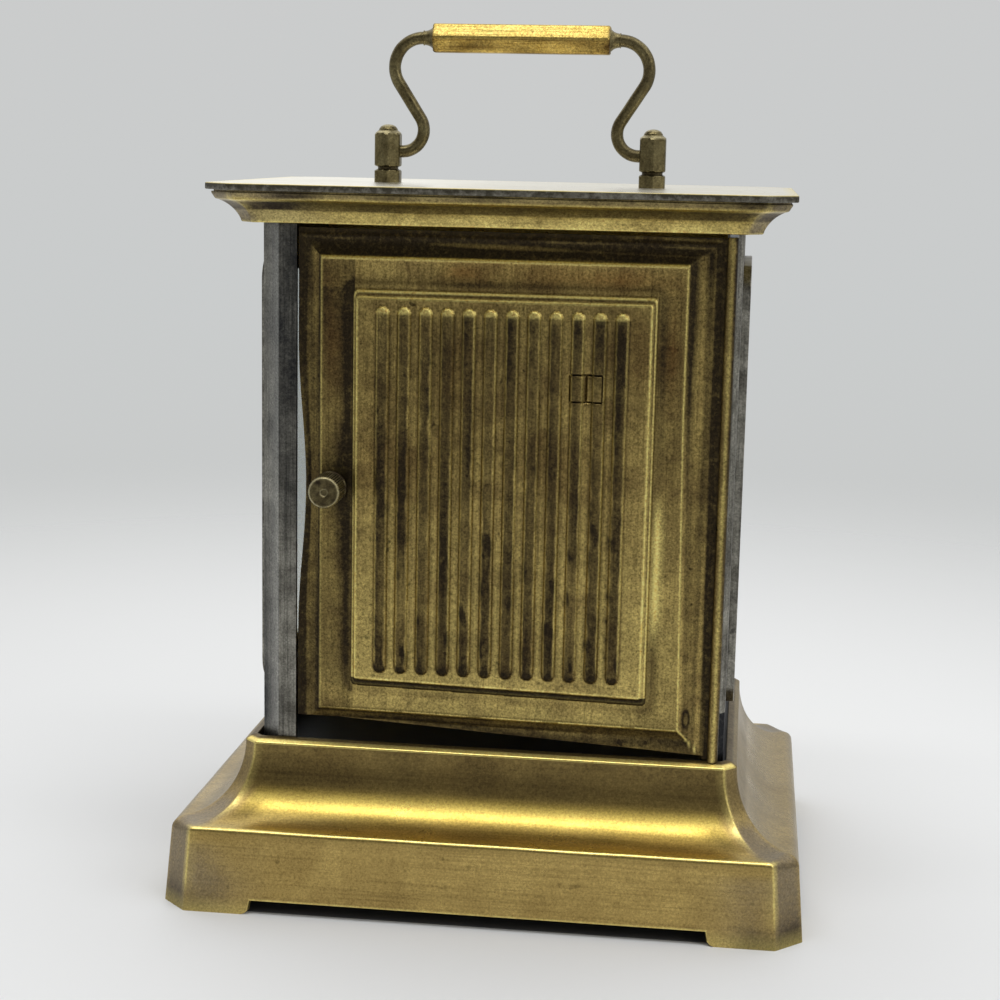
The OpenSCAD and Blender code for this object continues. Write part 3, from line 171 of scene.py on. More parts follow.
def clipped(**shades: np.ndarray) -> Shades:
    """Keeps every named value between 0 and 1."""
    return {label: np.clip(value, 0, 1) for label, value in shades.items()}


def store(mesh: bpy.types.Mesh, shades: Shades) -> None:
    """Writes values per point to a mesh, for its finish to read.

    Args:
        mesh: The mesh.
        shades: The named values, in the order of the mesh's points.
    """
    for label, values in shades.items():
        layer = mesh.attributes.new(label, "FLOAT", "POINT")
        layer.data.foreach_set("value", np.ascontiguousarray(values, dtype=np.float32).ravel())


def make_object(name: str, mesh: bpy.types.Mesh, finish: bpy.types.Material,
                sharp: float) -> bpy.types.Object:
    """Links a finished mesh as an object with smooth shading.

    Args:
        name: Name of the object.
        mesh: The mesh, in metres.
        finish: Material of the object.
        sharp: Angle in degrees above which an edge stays sharp.

    Returns:
        The object, at the origin.
    """
    made = bpy.data.objects.new(name, mesh)
    bpy.context.scene.collection.objects.link(made)
    mesh.materials.append(finish)
    mesh.shade_smooth()
    mesh.set_sharp_from_angle(angle=math.radians(sharp))
    return made


def grid_piece(name: str, points: np.ndarray, finish: bpy.types.Material, wrap_rows: bool = False,
               wrap_cols: bool = True, sharp: float = 40, shades: Shades | None = None,
               ) -> bpy.types.Object:
    """Makes a piece from a grid of points, merges its poles and seams, and turns its faces outwards.

    Args:
        name: Name of the piece.
        points: Array of rows x columns x 3 in millimetres.
        finish: Material of the piece.
        wrap_rows: Whether the last row joins the first.
        wrap_cols: Whether the last column joins the first.
        sharp: Angle in degrees above which an edge stays sharp.
        shades: Named values per point, each an array of rows x columns.

    Returns:
        The object, at the origin, in metres.
    """
    rows, cols = points.shape[:2]
    r = np.arange(rows if wrap_rows else rows - 1)
    c = np.arange(cols if wrap_cols else cols - 1)
    rr, cc = np.meshgrid(r, c, indexing="ij")
    nr, nc = (rr + 1) % rows, (cc + 1) % cols
    quads = np.stack([rr * cols + cc, rr * cols + nc, nr * cols + nc, nr * cols + cc], axis=-1)
    quads = quads.reshape(-1, 4)
    mesh = bpy.data.meshes.new(name)
    mesh.vertices.add(rows * cols)
    mesh.vertices.foreach_set("co", (points.reshape(-1, 3) * MM).astype(np.float32).ravel())
    mesh.loops.add(quads.size)
    mesh.loops.foreach_set("vertex_index", quads.astype(np.int32).ravel())
    mesh.polygons.add(len(quads))
    mesh.polygons.foreach_set("loop_start", np.arange(0, quads.size, 4, dtype=np.int32))
    mesh.update(calc_edges=True)
    store(mesh, shades or {})
    close_and_orient(mesh)
    return make_object(name, mesh, finish, sharp)


def close_and_orient(mesh: bpy.types.Mesh, distance: float = 2e-6) -> None:
    """Merges doubled points, drops faces with no area, and makes every face point outwards.

    Args:
        mesh: The mesh, in metres, changed in place.
        distance: Metres within which two points count as one.
    """
    edit = bmesh.new()
    edit.from_mesh(mesh)
    bmesh.ops.remove_doubles(edit, verts=edit.verts, dist=distance)
    bmesh.ops.dissolve_degenerate(edit, edges=edit.edges, dist=distance / 2)
    bmesh.ops.recalc_face_normals(edit, faces=edit.faces)
    if edit.calc_volume(signed=True) < 0:
        bmesh.ops.reverse_faces(edit, faces=edit.faces)
    edit.to_mesh(mesh)
    edit.free()
    mesh.update()


def softened_copy(node: str, finish: bpy.types.Material, width: float, flat: float = 12,
                  cuts: tuple[float, ...] = (),
                  wear: Callable[[np.ndarray], Shades] | None = None) -> bpy.types.Object:
    """Copy of a CAD node with its flats joined and its edges rounded, which stands for the node.

    Args:
        node: Name of the CAD node.
        finish: Material of the copy.
        width: Width of the rounding in millimetres.
        flat: Angle in degrees below which neighbouring faces count as one flat.
        cuts: Heights in millimetres at which level edges are added.
        wear: Gives named values per point from the points in millimetres.

    Returns:
        The new piece.
    """
    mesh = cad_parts[node].data.copy()
    mesh.name = f"{node}_softened"
    mesh.materials.clear()
    edit = bmesh.new()
    edit.from_mesh(mesh)
    bmesh.ops.remove_doubles(edit, verts=edit.verts, dist=MERGE_DISTANCE)
    bmesh.ops.dissolve_limit(edit, angle_limit=math.radians(1), verts=edit.verts, edges=edit.edges)
    edges = [e for e in edit.edges if e.is_manifold and e.calc_face_angle(0) > math.radians(flat)]
    bmesh.ops.bevel(edit, geom=edges, offset=width * MM, offset_type="OFFSET", segments=2, profile=0.5,
                    affect="EDGES", clamp_overlap=True)
    for height in cuts:
        bmesh.ops.bisect_plane(edit, geom=[*edit.verts, *edit.edges, *edit.faces], dist=1e-7,
                               plane_co=(0, 0, height * MM), plane_no=(0, 0, 1))
    bmesh.ops.remove_doubles(edit, verts=edit.verts, dist=MERGE_DISTANCE)
    bmesh.ops.recalc_face_normals(edit, faces=edit.faces)
    edit.to_mesh(mesh)
    edit.free()
    if wear:
        places = np.empty(len(mesh.vertices) * 3, dtype=np.float32)
        mesh.vertices.foreach_get("co", places)
        store(mesh, wear(places.reshape(-1, 3) / MM))
    made = make_object(f"{node}_dressed", mesh, finish, SOFT_EDGE_LIMIT)
    # Weighted normals keep the large flats flat to the eye, so that only the rounded edges catch the light
    level = made.modifiers.new("level_flats", "WEIGHTED_NORMAL")
    level.keep_sharp = True
    return made


def canted_ring(width: float, depth: float, cant: float, radius: float, x_steps: np.ndarray,
                y_steps: np.ndarray) -> np.ndarray:
    """Closed outline of a rectangle with cut corners, each of its eight corners rounded.

    The ring runs along the rear side first. Each side is a straight line between two roundings, sampled at
    the given shares, and each rounding is an arc of 45 degrees about its own centre.

    Args:
        width: Size along X.
        depth: Size along Y.
        cant: Length cut from each side at a corner.
        radius: Radius of the roundings.
        x_steps: Shares from -1 to 1 along the long sides.
        y_steps: Shares from -1 to 1 along the short sides.

    Returns:
        Array of columns x 2.
    """
    w, d, c = width / 2, depth / 2, cant
    corners = np.array([[w - c, d], [c - w, d], [-w, d - c], [-w, c - d],
                        [c - w, -d], [w - c, -d], [w, c - d], [w, d - c]])
    tuck = radius * math.tan(math.radians(22.5))
    arc = np.linspace(0, 1, 5)[1:-1]
    parts = []
    for i in range(8):
        here, there = corners[i], corners[(i + 1) % 8]
        along = (there - here) / np.linalg.norm(there - here)
        start, stop = here + along * tuck, there - along * tuck
        shares = (x_steps, np.linspace(-1, 1, 7), y_steps, np.linspace(-1, 1, 7))[i % 4]
        parts.append((start + stop) / 2 + (stop - start) / 2 * shares[:, None])
        outward = np.array([along[1], -along[0]])
        centre = stop - outward * radius
        first = math.atan2(outward[1], outward[0])
        angles = first + math.radians(45) * arc
        parts.append(centre + radius * np.stack([np.cos(angles), np.sin(angles)], axis=1))
    return np.concatenate(parts)


def lathe(profile: np.ndarray, axis: str, centre: tuple[float, float, float], steps: int = 96) -> np.ndarray:
    """Turned shape: a profile of (radius, height) points carried round an axis.

    Args:
        profile: Array of rows x 2.
        axis: "X", "Y" or "Z", the direction of the height.
        centre: Point of the axis at height 0.
        steps: Number of columns round the axis.

    Returns:
        Array of rows x steps x 3.
    """
    angle = np.arange(steps) * 2 * np.pi / steps
    radius, height = profile[:, :1], profile[:, 1:]
    a, b = radius * np.cos(angle), radius * np.sin(angle)
    h = np.broadcast_to(height, a.shape)
    order = {"X": (h, a, b), "Y": (b, h, a), "Z": (a, b, h)}[axis]
    return np.stack(order, axis=-1) + np.array(centre)


def tube(path: np.ndarray, radius: np.ndarray, steps: int = 28) -> np.ndarray:
    """Round bar along a path in the XZ plane; a circle is carried square to the path, ends closed to poles.

    Args:
        path: Array of points x 3.
        radius: Radius at each point.
        steps: Number of columns round the bar.

    Returns:
        Array of rows x steps x 3.
    """
    tangent = np.gradient(path, axis=0)
    tangent /= np.linalg.norm(tangent, axis=1, keepdims=True)
    side = np.array([0.0, 1.0, 0.0])
    other = np.cross(tangent, side)
    angle = np.arange(steps) * 2 * np.pi / steps
    rings = (path[:, None, :] + radius[:, None, None] * (np.cos(angle)[None, :, None] * side
             + np.sin(angle)[None, :, None] * other[:, None, :]))
    first = np.repeat(path[:1][:, None, :], steps, axis=1)
    last = np.repeat(path[-1:][:, None, :], steps, axis=1)
    return np.concatenate([first, rings, last])


def rounded_profile(points: list[tuple[float, float]], radii: list[float], steps: int = 5) -> np.ndarray:
    """Open polyline whose inner corners are replaced by short curves, each a quadratic through its corner.

    Args:
        points: Corners as (first, second) coordinates.
        radii: Length taken off each side of every corner; 0 leaves the corner sharp.
        steps: Number of points in each curve.

    Returns:
        Array of rows x 2.
    """
    p = np.array(points, dtype=float)
    rows = [p[:1]]
    t = np.linspace(0, 1, steps)[:, None]
    for i in range(1, len(p) - 1):
        if radii[i] <= 0:
            rows.append(p[i:i + 1])
            continue
        before = p[i] + (p[i - 1] - p[i]) / np.linalg.norm(p[i - 1] - p[i]) * radii[i]
        after = p[i] + (p[i + 1] - p[i]) / np.linalg.norm(p[i + 1] - p[i]) * radii[i]
        rows.append((1 - t) ** 2 * before + 2 * t * (1 - t) * p[i] + t ** 2 * after)
    rows.append(p[-1:])
    return np.concatenate(rows)


def use(piece: bpy.types.Object, body: str, slot: str, *nodes: str) -> None:
    """Ties a piece to the frame.

    Args:
        piece: The piece.
        body: Body that it rides on.
        slot: Material slot that it belongs to; not used.
        *nodes: CAD nodes that it stands for, none for an added detail.
    """
    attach(piece, body)
    if nodes:
        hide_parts(*nodes)
    log.info("%s rides on %s", piece.name, body)


@dataclass(frozen=True)
class AgedMetal:
    """Old sheet or bar metal: brushed once, then tarnished in patches and worn bright on its edges.

    Four values per point steer it where a piece carries them: "dull" is a grey film, "blush" a
    copper coloured patch and also a tint painted on a highlight, "tarnish" a dark brown stain and also
    painted shade, and "rubbed" bare bright metal and also painted highlights.
    """

    name: str
    bright: str
    middle: str
    dark: str
    grain: Grain
    roughness: float = 0.34
    mottle_mm: float = 11.0
    mottle_share: float = 0.5
    speckle: float = 0.5
    brush: float = 0.3
    pits: float = 0.5
    pit_bump: float = 0.03
    # The stain colour is also the colour of painted shade, and the polish colour below that of painted
    # highlights
    stain: str = "2A2015"
    polish: str = "F0DC86"
    film: str = "776D5E"
    copper: str = "8A6234"

    def ground(self, tree: Tree, place: Socket, clouds: Socket,
               brushed: Socket) -> Socket:
        """Colour of the metal itself: a middle tone in clouds, dark brush lines over it, then stained pits.

        Args:
            tree: Node tree of the finish.
            place: Object coordinates.
            clouds: Coarse noise.
            brushed: Noise drawn out along the grain.

        Returns:
            The colour.
        """
        tone = add(tree, RANGE, {0: clouds, 1: 0.38, 2: 0.66, 4: self.mottle_share})
        lines = add(tree, RANGE, {0: brushed, 1: 0.45, 2: 0.7, 4: self.brush})
        spots = add(tree, NOISE, {"Vector": place, "Scale": 1 / (PIT_MM * MM), "Detail": 2.0})
        holes = add(tree, RANGE, {0: spots.outputs[0], 1: 0.69, 2: 0.76, 4: self.pits})
        coat = hex_colour(self.bright)
        for share, code in ((tone, self.middle), (lines, self.dark), (holes, self.stain)):
            laid = add(tree, MIX, {0: share.outputs[0], 6: coat, 7: hex_colour(code)}, data_type="RGBA")
            coat = laid.outputs[2]
        return coat

    def layers(self, tree: Tree, place: Socket,
               coat: Socket) -> tuple[Socket, Socket]:
        """Lays the four steered layers over the metal, each broken up by fine patches.

        Args:
            tree: Node tree of the finish.
            place: Object coordinates.
            coat: Colour of the metal itself.

        Returns:
            The colour, and how much tarnished metal and painted shade lies at each place.
        """
        patches = add(tree, NOISE, {"Vector": place, "Scale": 1 / (PATCH_MM * MM), "Detail": 3.0,
                                    "Roughness": 0.65})
        broken = add(tree, MATH, {0: patches.outputs[0], 1: 0.8, 2: 0.6}, operation="MULTIPLY_ADD")
        amounts = {}
        # The tarnish layer also lays painted shade, the rubbed layer painted highlights, and the blush layer
        # a tint painted on highlights
        for label, code, most in (("dull", self.film, 0.8), ("blush", self.copper, 0.8),
                                  ("tarnish", self.stain, 0.96), ("rubbed", self.polish, 0.92)):
            steer = add(tree, "ShaderNodeAttribute", attribute_name=label)
            wanted = add(tree, MATH, {0: steer.outputs["Fac"], 1: broken.outputs[0]}, operation="MULTIPLY")
            amounts[label] = add(tree, RANGE, {0: wanted.outputs[0], 4: most}).outputs[0]
            laid = add(tree, MIX, {0: amounts[label], 6: coat, 7: hex_colour(code)}, data_type="RGBA")
            coat = laid.outputs[2]
        return coat, amounts["tarnish"]

    def make(self) -> bpy.types.Material:
        """Builds the node tree: the metal, its layers and a fine speckle; tarnish is rougher than metal.

        Returns:
            The material.
        """
        material, tree, place = blank_material(self.name)
        clouds = add(tree, NOISE, {"Vector": place, "Scale": 1 / (self.mottle_mm * MM), "Detail": 5.0,
                                   "Roughness": 0.6, "Distortion": 0.4}).outputs[0]
        grit = add(tree, NOISE, {"Vector": place, "Scale": 1 / (GRIT_MM * MM), "Detail": 3.0,
                                 "Roughness": 0.75}).outputs[0]
        strokes = add(tree, "ShaderNodeMapping", {"Vector": place, "Scale": self.grain.value})
        brushed = add(tree, NOISE, {"Vector": strokes.outputs[0], "Scale": 1 / (STROKE_MM * MM),
                                    "Detail": 4.0, "Roughness": 0.7}).outputs[0]
        coat, tarnish = self.layers(tree, place, self.ground(tree, place, clouds, brushed))
        dust = add(tree, RANGE, {0: grit, 1: 0.2, 2: 0.8})
        speckled = add(tree, MIX, {0: self.speckle, 6: coat, 7: dust.outputs[0]}, data_type="RGBA",
                       blend_type="OVERLAY")
        rough = add(tree, MATH, {0: clouds, 1: 0.22, 2: self.roughness - 0.11}, operation="MULTIPLY_ADD")
        rougher = add(tree, MATH, {0: tarnish, 1: 0.22, 2: rough.outputs[0]}, operation="MULTIPLY_ADD")
        metal = add(tree, RANGE, {0: tarnish, 1: 0.2, 3: 1.0, 4: 0.85})
        relief = add(tree, MATH, {0: brushed, 1: 0.5, 2: grit}, operation="MULTIPLY_ADD")
        bump = add(tree, BUMP, {"Strength": 0.5, "Distance": self.pit_bump * MM, "Height": relief.outputs[0]})
        shader = add(tree, PRINCIPLED, {"Base Color": speckled.outputs[2], "Metallic": metal.outputs[0],
                                        "Roughness": rougher.outputs[0], "Normal": bump.outputs[0]})
        add(tree, "ShaderNodeOutputMaterial", {"Surface": shader.outputs[0]})
        return material


@dataclass(frozen=True)
class Coating:
    """Paint, enamel or lacquer: one colour with a faint cloudiness under a smooth surface."""

    name: str
    colour: str
    cloud: str
    roughness: float
    coat: float = 0.0
    scale_mm: float = 7.0

    def make(self) -> bpy.types.Material:
        """Builds the node tree: two near colours laid by noise, with a fine grain in the surface.

        Returns:
            The material.
        """
        material, tree, place = blank_material(self.name)
        clouds = add(tree, NOISE, {"Vector": place, "Scale": 1 / (self.scale_mm * MM), "Detail": 6.0})
        grain = add(tree, NOISE, {"Vector": place, "Scale": 1 / (GRIT_MM * MM), "Detail": 2.0})
        colour = add(tree, MIX, {0: clouds.outputs[0], 6: hex_colour(self.colour), 7: hex_colour(self.cloud)},
                     data_type="RGBA")
        rough = add(tree, MATH, {0: clouds.outputs[0], 1: 0.16, 2: self.roughness - 0.08},
                    operation="MULTIPLY_ADD")
        bump = add(tree, BUMP, {"Strength": 0.3, "Distance": 0.02 * MM, "Height": grain.outputs[0]})
        shader = add(tree, PRINCIPLED, {"Base Color": colour.outputs[2], "Roughness": rough.outputs[0],
                                        "Coat Weight": self.coat, "Normal": bump.outputs[0]})
        add(tree, "ShaderNodeOutputMaterial", {"Surface": shader.outputs[0]})
        return material


@dataclass(frozen=True)
class PlateGlass:
    """Old clear window glass: smooth, with a very slight wave from being drawn."""

    name: str
    tint: str = "F4F9F7"
    wave_mm: float = 30.0

    def make(self) -> bpy.types.Material:
        """Builds the node tree: full transmission with a long, shallow wave in the surface.

        Returns:
            The material.
        """
        material, tree, place = blank_material(self.name)
        wave = add(tree, NOISE, {"Vector": place, "Scale": 1 / (self.wave_mm * MM), "Detail": 1.0})
        bump = add(tree, BUMP, {"Strength": 0.1, "Distance": 0.03 * MM, "Height": wave.outputs[0]})
        shader = add(tree, PRINCIPLED, {"Base Color": hex_colour(self.tint), "Roughness": 0.02, "IOR": 1.5,
                                        "Transmission Weight": 1.0, "Normal": bump.outputs[0]})
        add(tree, "ShaderNodeOutputMaterial", {"Surface": shader.outputs[0]})
        return material


class Finishes:
    """Every finish on the clock, made once."""

    def __init__(self) -> None:
        """Makes the materials."""
        # Pressed brass brushed along its length: level strokes draw the light out into long soft bands
        # Its copper colour here is a lemon tint, painted on the band of the cove where the lamp's highlight
        # falls
        self.base_brass = AgedMetal("brushed_base_brass", "B89F60", "967E4A", "6B5833", Grain.ALONG_X,
                                    roughness=0.29, mottle_mm=17, mottle_share=0.66, speckle=0.5, brush=0.4,
                                    pits=0.35, copper="CDB248").make()
        # Pressed brass never polished: small olive clouds that break up its gloss
        self.cornice_brass = AgedMetal("tarnished_cornice_brass", "C4B06A", "8E7C48", "584A2B",
                                       Grain.ALONG_X, roughness=0.32, mottle_mm=4, mottle_share=0.8,
                                       speckle=0.85).make()
        # Pressed brass with old tarnish: brown clouds and upright strokes, with a gritty, half dull gloss
        self.door_brass = AgedMetal("tarnished_door_brass", "B09A5C", "7C6840", "43351F", Grain.ALONG_Z,
                                    roughness=0.33, mottle_mm=6, mottle_share=0.85, speckle=0.9, brush=0.55,
                                    pits=0.8, pit_bump=0.06, stain="221A11").make()
        # Nickel plate gone dull: grey with darker upright streaks, as drawn sheet wears
        self.nickel = AgedMetal("dull_nickel", "969389", "66635B", "302F2A", Grain.ALONG_Z, roughness=0.34,
                                mottle_mm=5, mottle_share=0.95, speckle=0.7, brush=0.7, stain="15171D",
                                polish="D8D8D4", pit_bump=0.06).make()
        # Lid plate in nickel far paler than the pillars': the paleness is a painted reflection of the bright
        # room that the lid mirrors at a grazing angle; even and bright, it mirrors the room softly
        self.lid_nickel = AgedMetal("pale_lit_lid_plate", "F0ECDE", "DDD8C6", "9A9480", Grain.ALONG_X,
                                    roughness=0.3, mottle_mm=18, speckle=0.3, brush=0.15,
                                    stain="353024").make()
        # Turned brass darkened by hands: olive brown, mottled every few millimetres
        self.handled_brass = AgedMetal("handled_dark_brass", "7F7553", "60563A", "352E1D", Grain.NONE,
                                       roughness=0.34, mottle_mm=3, mottle_share=0.9, speckle=0.7,
                                       polish="C9BE94").make()
        # Gilt sheet round the glass and the dial: warm and even, with faint brush lines
        self.front_brass = AgedMetal("gilt_front_sheet", "CFB468", "AD9250", "7A6233", Grain.ALONG_X,
                                     roughness=0.3, mottle_mm=14, mottle_share=0.6, speckle=0.45, brush=0.22,
                                     pits=0.3).make()
        # Gilt brass rubbed through: bright yellow, scored with dark lines along its length
        self.gilt = AgedMetal("rubbed_gilt_brass", "D8C070", "BFA24E", "6C5220", Grain.ALONG_X,
                              roughness=0.3, mottle_mm=4, mottle_share=0.7, speckle=0.85, brush=0.8,
                              stain="4A3412").make()
        # Brass grained upright and kept clean behind glass: an even warm yellow
        self.movement_brass = AgedMetal("grained_movement_brass", "CBAC60", "B5954C", "80652E",
                                        Grain.ALONG_Z, roughness=0.3, mottle_mm=14, mottle_share=0.35,
                                        speckle=0.15, pits=0.1).make()
        # Ground steel: cool grey with a slight mottle
        self.steel = AgedMetal("grey_steel", "94979B", "787B80", "46484C", Grain.ALONG_Y, roughness=0.32,
                               mottle_mm=8, speckle=0.2, stain="202226", polish="C8CACC").make()
        # Steel blued by heat: nearly black until it catches the light
        self.blued = AgedMetal("blued_steel", "1F2A44", "18203A", "0E1320", Grain.NONE, roughness=0.25,
                               mottle_mm=5, speckle=0.1, stain="0A0C12", pits=0.0).make()
        # Blackened iron plate, dark and matt; its near black also paints the shade in the gaps under the
        # base's arches
        self.black_iron = AgedMetal("blackened_iron_and_shade", "2A2A2C", "1E1E20", "121214", Grain.NONE,
                                    roughness=0.45, mottle_mm=9, speckle=0.3, stain="0C0C0E").make()
        # Black paint with a faint cold gloss; its black also paints the shade in the gap under the door
        self.floor_paint = Coating("black_case_floor", "0F141F", "181E2B", 0.4).make()
        # Fired enamel: warm white under a clear glassy coat
        self.enamel = Coating("white_dial_enamel", "EFEBDD", "E6E0CE", 0.22, coat=0.6, scale_mm=15).make()
        # Fired black paint: dense and half matt, so that the numbers read from any side
        self.numeral_paint = Coating("black_dial_paint", "17171A", "202024", 0.35, scale_mm=3).make()
        # Drawn window glass: clear, with a slow wave in what it mirrors
        self.glass = PlateGlass("clear_window_glass").make()


@dataclass
class CantedShape:
    """A canted outline that shrinks by a parallel margin."""

    width: float
    depth: float
    cant: float

    def ring(self, margin: float, radius: float, x_steps: np.ndarray, y_steps: np.ndarray,
             to: "CantedShape | None" = None, share: float = 0.0) -> np.ndarray:
        """Outline at a margin, or part of the way towards another shape with the same margin.

        Args:
            margin: Distance inside the outline.
            radius: Radius of the roundings.
            x_steps: Shares from -1 to 1 along the long sides.
            y_steps: Shares from -1 to 1 along the short sides.
            to: The other shape.
            share: Share of the way towards it.

        Returns:
            Array of columns x 2.
        """
        other = to or self
        width = self.width + (other.width - self.width) * share - 2 * margin
        depth = self.depth + (other.depth - self.depth) * share - 2 * margin
        cant = self.cant + (other.cant - self.cant) * share - (2 - math.sqrt(2)) * margin
        return canted_ring(width, depth, max(cant, 0.3), radius, x_steps, y_steps)


@dataclass
class Base:
    """Pressed brass base with four feet, an upright wall, a shoulder, a cove, a rim and an inner ledge."""

    finishes: Finishes
    foot: CantedShape = field(default_factory=lambda: CantedShape(144, 110, 6))
    rim: CantedShape = field(default_factory=lambda: CantedShape(112.5, 78.5, 2.9))
    wall_h: float = 19.2
    draft: float = 1.6
    shoulder_r: float = 1.1
    end_shoulder_r: float = 2.6
    rim_z: float = 35.5
    rim_r: float = 0.6
    ledge_w: float = 2.6
    sheet: float = 1.0
    arch_h: float = 3.3
    arch_x: float = 51.0
    arch_y: float = 34.0
    foot_r: float = 2.0
    roll_rows: int = 7

    def steps(self, half: float, arch: float, count: int) -> np.ndarray:
        """Shares along a side: even ones, and close ones where the foot's inner corner is rounded.

        Args:
            half: Half length of the side.
            arch: Distance from the side's middle to the foot.
            count: Number of even shares.

        Returns:
            Shares from -1 to 1.
        """
        corner = arch + self.foot_r * np.array([0.0, 0.01, 0.04, 0.12, 0.3, 0.6, 1.0])
        edge = np.concatenate([[arch - 0.02], corner]) / half
        even = np.linspace(-1, 1, count)
        even = even[np.min(np.abs(np.abs(even)[:, None] - edge), axis=1) > 0.004]
        return np.sort(np.concatenate([even, edge, -edge]))

    def arch(self, ring: np.ndarray) -> np.ndarray:
        """Height of the lower edge: 0 at the feet, the arch between, a quarter circle at each foot.

        Args:
            ring: Outline of the foot.

        Returns:
            The height at each column.
        """
        x, y = np.abs(ring[:, 0]), np.abs(ring[:, 1])
        along_x = y > self.foot.depth / 2 - 1
        place = np.where(along_x, x - self.arch_x, y - self.arch_y)
        curve = self.foot_r - np.sqrt(np.clip(self.foot_r ** 2 - (place - self.foot_r) ** 2, 0, None))
        return np.where(place < 0, self.arch_h, np.where(place < self.foot_r, curve, 0.0))

    def profile(self, r: float) -> np.ndarray:
        """Outside of the base: the wall leans in evenly, a quarter circle, then a cove of a quarter ellipse.

        Args:
            r: Radius of the shoulder.

        Returns:
            Rows of (share of the way to the rim, height).
        """
        span = (self.foot.width - self.rim.width) / 2
        up = np.linspace(self.arch_h + 0.5, self.wall_h - r, 10)
        wall = np.stack([self.draft * up / self.wall_h, up], axis=1)
        a = np.radians(np.linspace(0, 90, 8)[1:])
        shoulder = wall[-1] + r * np.stack([1 - np.cos(a), np.sin(a)], axis=1)
        b = np.radians(np.linspace(0, 90, 34)[1:])
        start, high = shoulder[-1, 0], self.rim_z - self.rim_r
        cove = np.stack([start + (span - start) * np.sin(b), high - (high - self.wall_h) * np.cos(b)], axis=1)
        rows = np.concatenate([wall, shoulder, cove])
        rows[:, 0] /= span
        return rows

    def lip(self) -> np.ndarray:
        """Rolled rim, and the ledge that climbs a little inwards and ends in a thin edge.

        Returns:
            Rows of (distance inside the rim, height).
        """
        a = np.radians(np.linspace(0, 64, self.roll_rows)[1:])
        r, w, z = self.rim_r, self.ledge_w, self.rim_z
        roll = np.stack([r * (1 - np.cos(a)), z - r + r * np.sin(a)], axis=1)
        flat = [(0.8, z + 0.22), (1.3, z + 0.5), (1.8, z + 0.68), (w - 0.12, z + 0.76), (w, z + 0.66),
                (w, z - 0.88), (w - 0.12, z - 1), (1.4, z - 1)]
        return np.concatenate([roll, flat])

    def build(self) -> None:
        """Builds the shell: outside up, over the rim and its ledge, inside down, closed under the feet."""
        half_x = self.foot.width / 2 - self.foot.cant
        half_y = self.foot.depth / 2 - self.foot.cant
        steps = self.steps(half_x, self.arch_x, 61), self.steps(half_y, self.arch_y, 45)
        lowest = self.foot.ring(0.0, 1.0, *steps)
        far = smooth_step(65, 71, np.abs(lowest[:, 0]))[:, None]
        outside = []
        for front, end in zip(self.profile(self.shoulder_r), self.profile(self.end_shoulder_r)):
            near = self.level(front[0], front[1], 0.0, *steps)
            outside.append(near + (self.level(end[0], end[1], 0.0, *steps) - near) * far)
        lip = [self.level(1.0, z, margin, *steps) for margin, z in self.lip()]
        inner = [self.level(share, z - self.sheet, self.sheet, *steps)
                 for share, z in self.profile(self.shoulder_r)[::-1]
                 if self.arch_h + 1.4 < z < self.rim_z - 0.7]
        arch = self.arch(lowest)
        share = self.draft * arch / self.wall_h
        foot_out = self.edge(arch, share, 0.0, *steps)
        foot_in = self.edge(arch, share, self.sheet, *steps)
        points = np.stack([foot_out, *outside, *lip, *inner, foot_in])
        z = points[..., 2].copy()
        dents = wave_noise(points[..., 0] + points[..., 1], z * 2, 34, 5)
        points[..., 2] += 0.05 * dents * smooth_step(4, 12, z) * (z < self.rim_z - 0.8)
        piece = grid_piece("pressed_base", points, self.finishes.base_brass, wrap_rows=True, sharp=38,
                           shades=self.wear(points, 1 + len(outside), len(lip)))
        use(piece, "clock_case", "base_brass", "base_plinth")

    def wear(self, points: np.ndarray, outer: int, lip: int) -> Shades:
        """Stains, worn bright edges, painted shade and painted highlights, found from the distance past the
        long faces' ends and the height.

        Args:
            points: The grid of points.
            outer: Number of rows outside, below the lip.
            lip: Number of rows of the lip and the ledge.

        Returns:
            Values per point for the finish.
        """
        x, y, z = np.abs(points[..., 0]), np.abs(points[..., 1]), points[..., 2]
        row = np.arange(len(points))[:, None] * np.ones_like(z)
        ledge_row = outer + self.roll_rows
        outside, on_lip = row < outer, (row >= outer) & (row < ledge_row)
        ledge, shaded_inside = (row >= ledge_row) & (row < outer + lip), row >= outer + lip
        half = np.max(x, axis=1, keepdims=True)
        span = (self.foot.width - self.rim.width) / 2
        cant = self.foot.cant + (self.rim.cant - self.foot.cant) * (self.foot.width / 2 - half) / span
        past = x - (half - cant)
        turned = smooth_step(-0.2, 0.5, past)
        end = smooth_step(cant - 0.5, cant - 0.1, past)
        facet = turned * (1 - end)
        cloud = wave_noise(points[..., 0], z * 1.6 + points[..., 1], 22, 41)
        # Grey film: on the cut corners and less on the ends, low on the wall, and a line on the shoulder
        dull = (1.15 + 0.15 * cloud) * turned * (1 - 0.62 * end) * (1 - 0.75 * facet * smooth_step(21, 25, z))
        dull += (0.55 + 0.25 * cloud) * smooth_step(44, 64, x) * (1 - smooth_step(14, 17, z)) * (past < 0)
        dull += 0.12 * smooth_step(18.8, 19.6, z) * (1 - smooth_step(20.5, 22.5, z)) * (past < -1)
        # Rubbed: the upright edges at the rear and front, the brow, the rim and the hem; the band at the foot
        # of the cove is a painted highlight where the overhead lamp's reflection falls
        edge = 0.6 * peak(past, 0, 0.32) * (y > 20) * smooth_step(3, 8, z)
        brow = peak(z, self.wall_h - 0.3, 0.26) * (1 - smooth_step(-0.5, 2.5, past))
        cove_highlight = 0.2 * peak(z, 23.6, 1.1) * (past < -3)
        hem = 0.4 + 0.55 * (z > self.arch_h - 0.2)
        rubbed = (edge + brow + cove_highlight) * outside + (0.95 - 0.9 * end) * on_lip + hem * (row == 0)
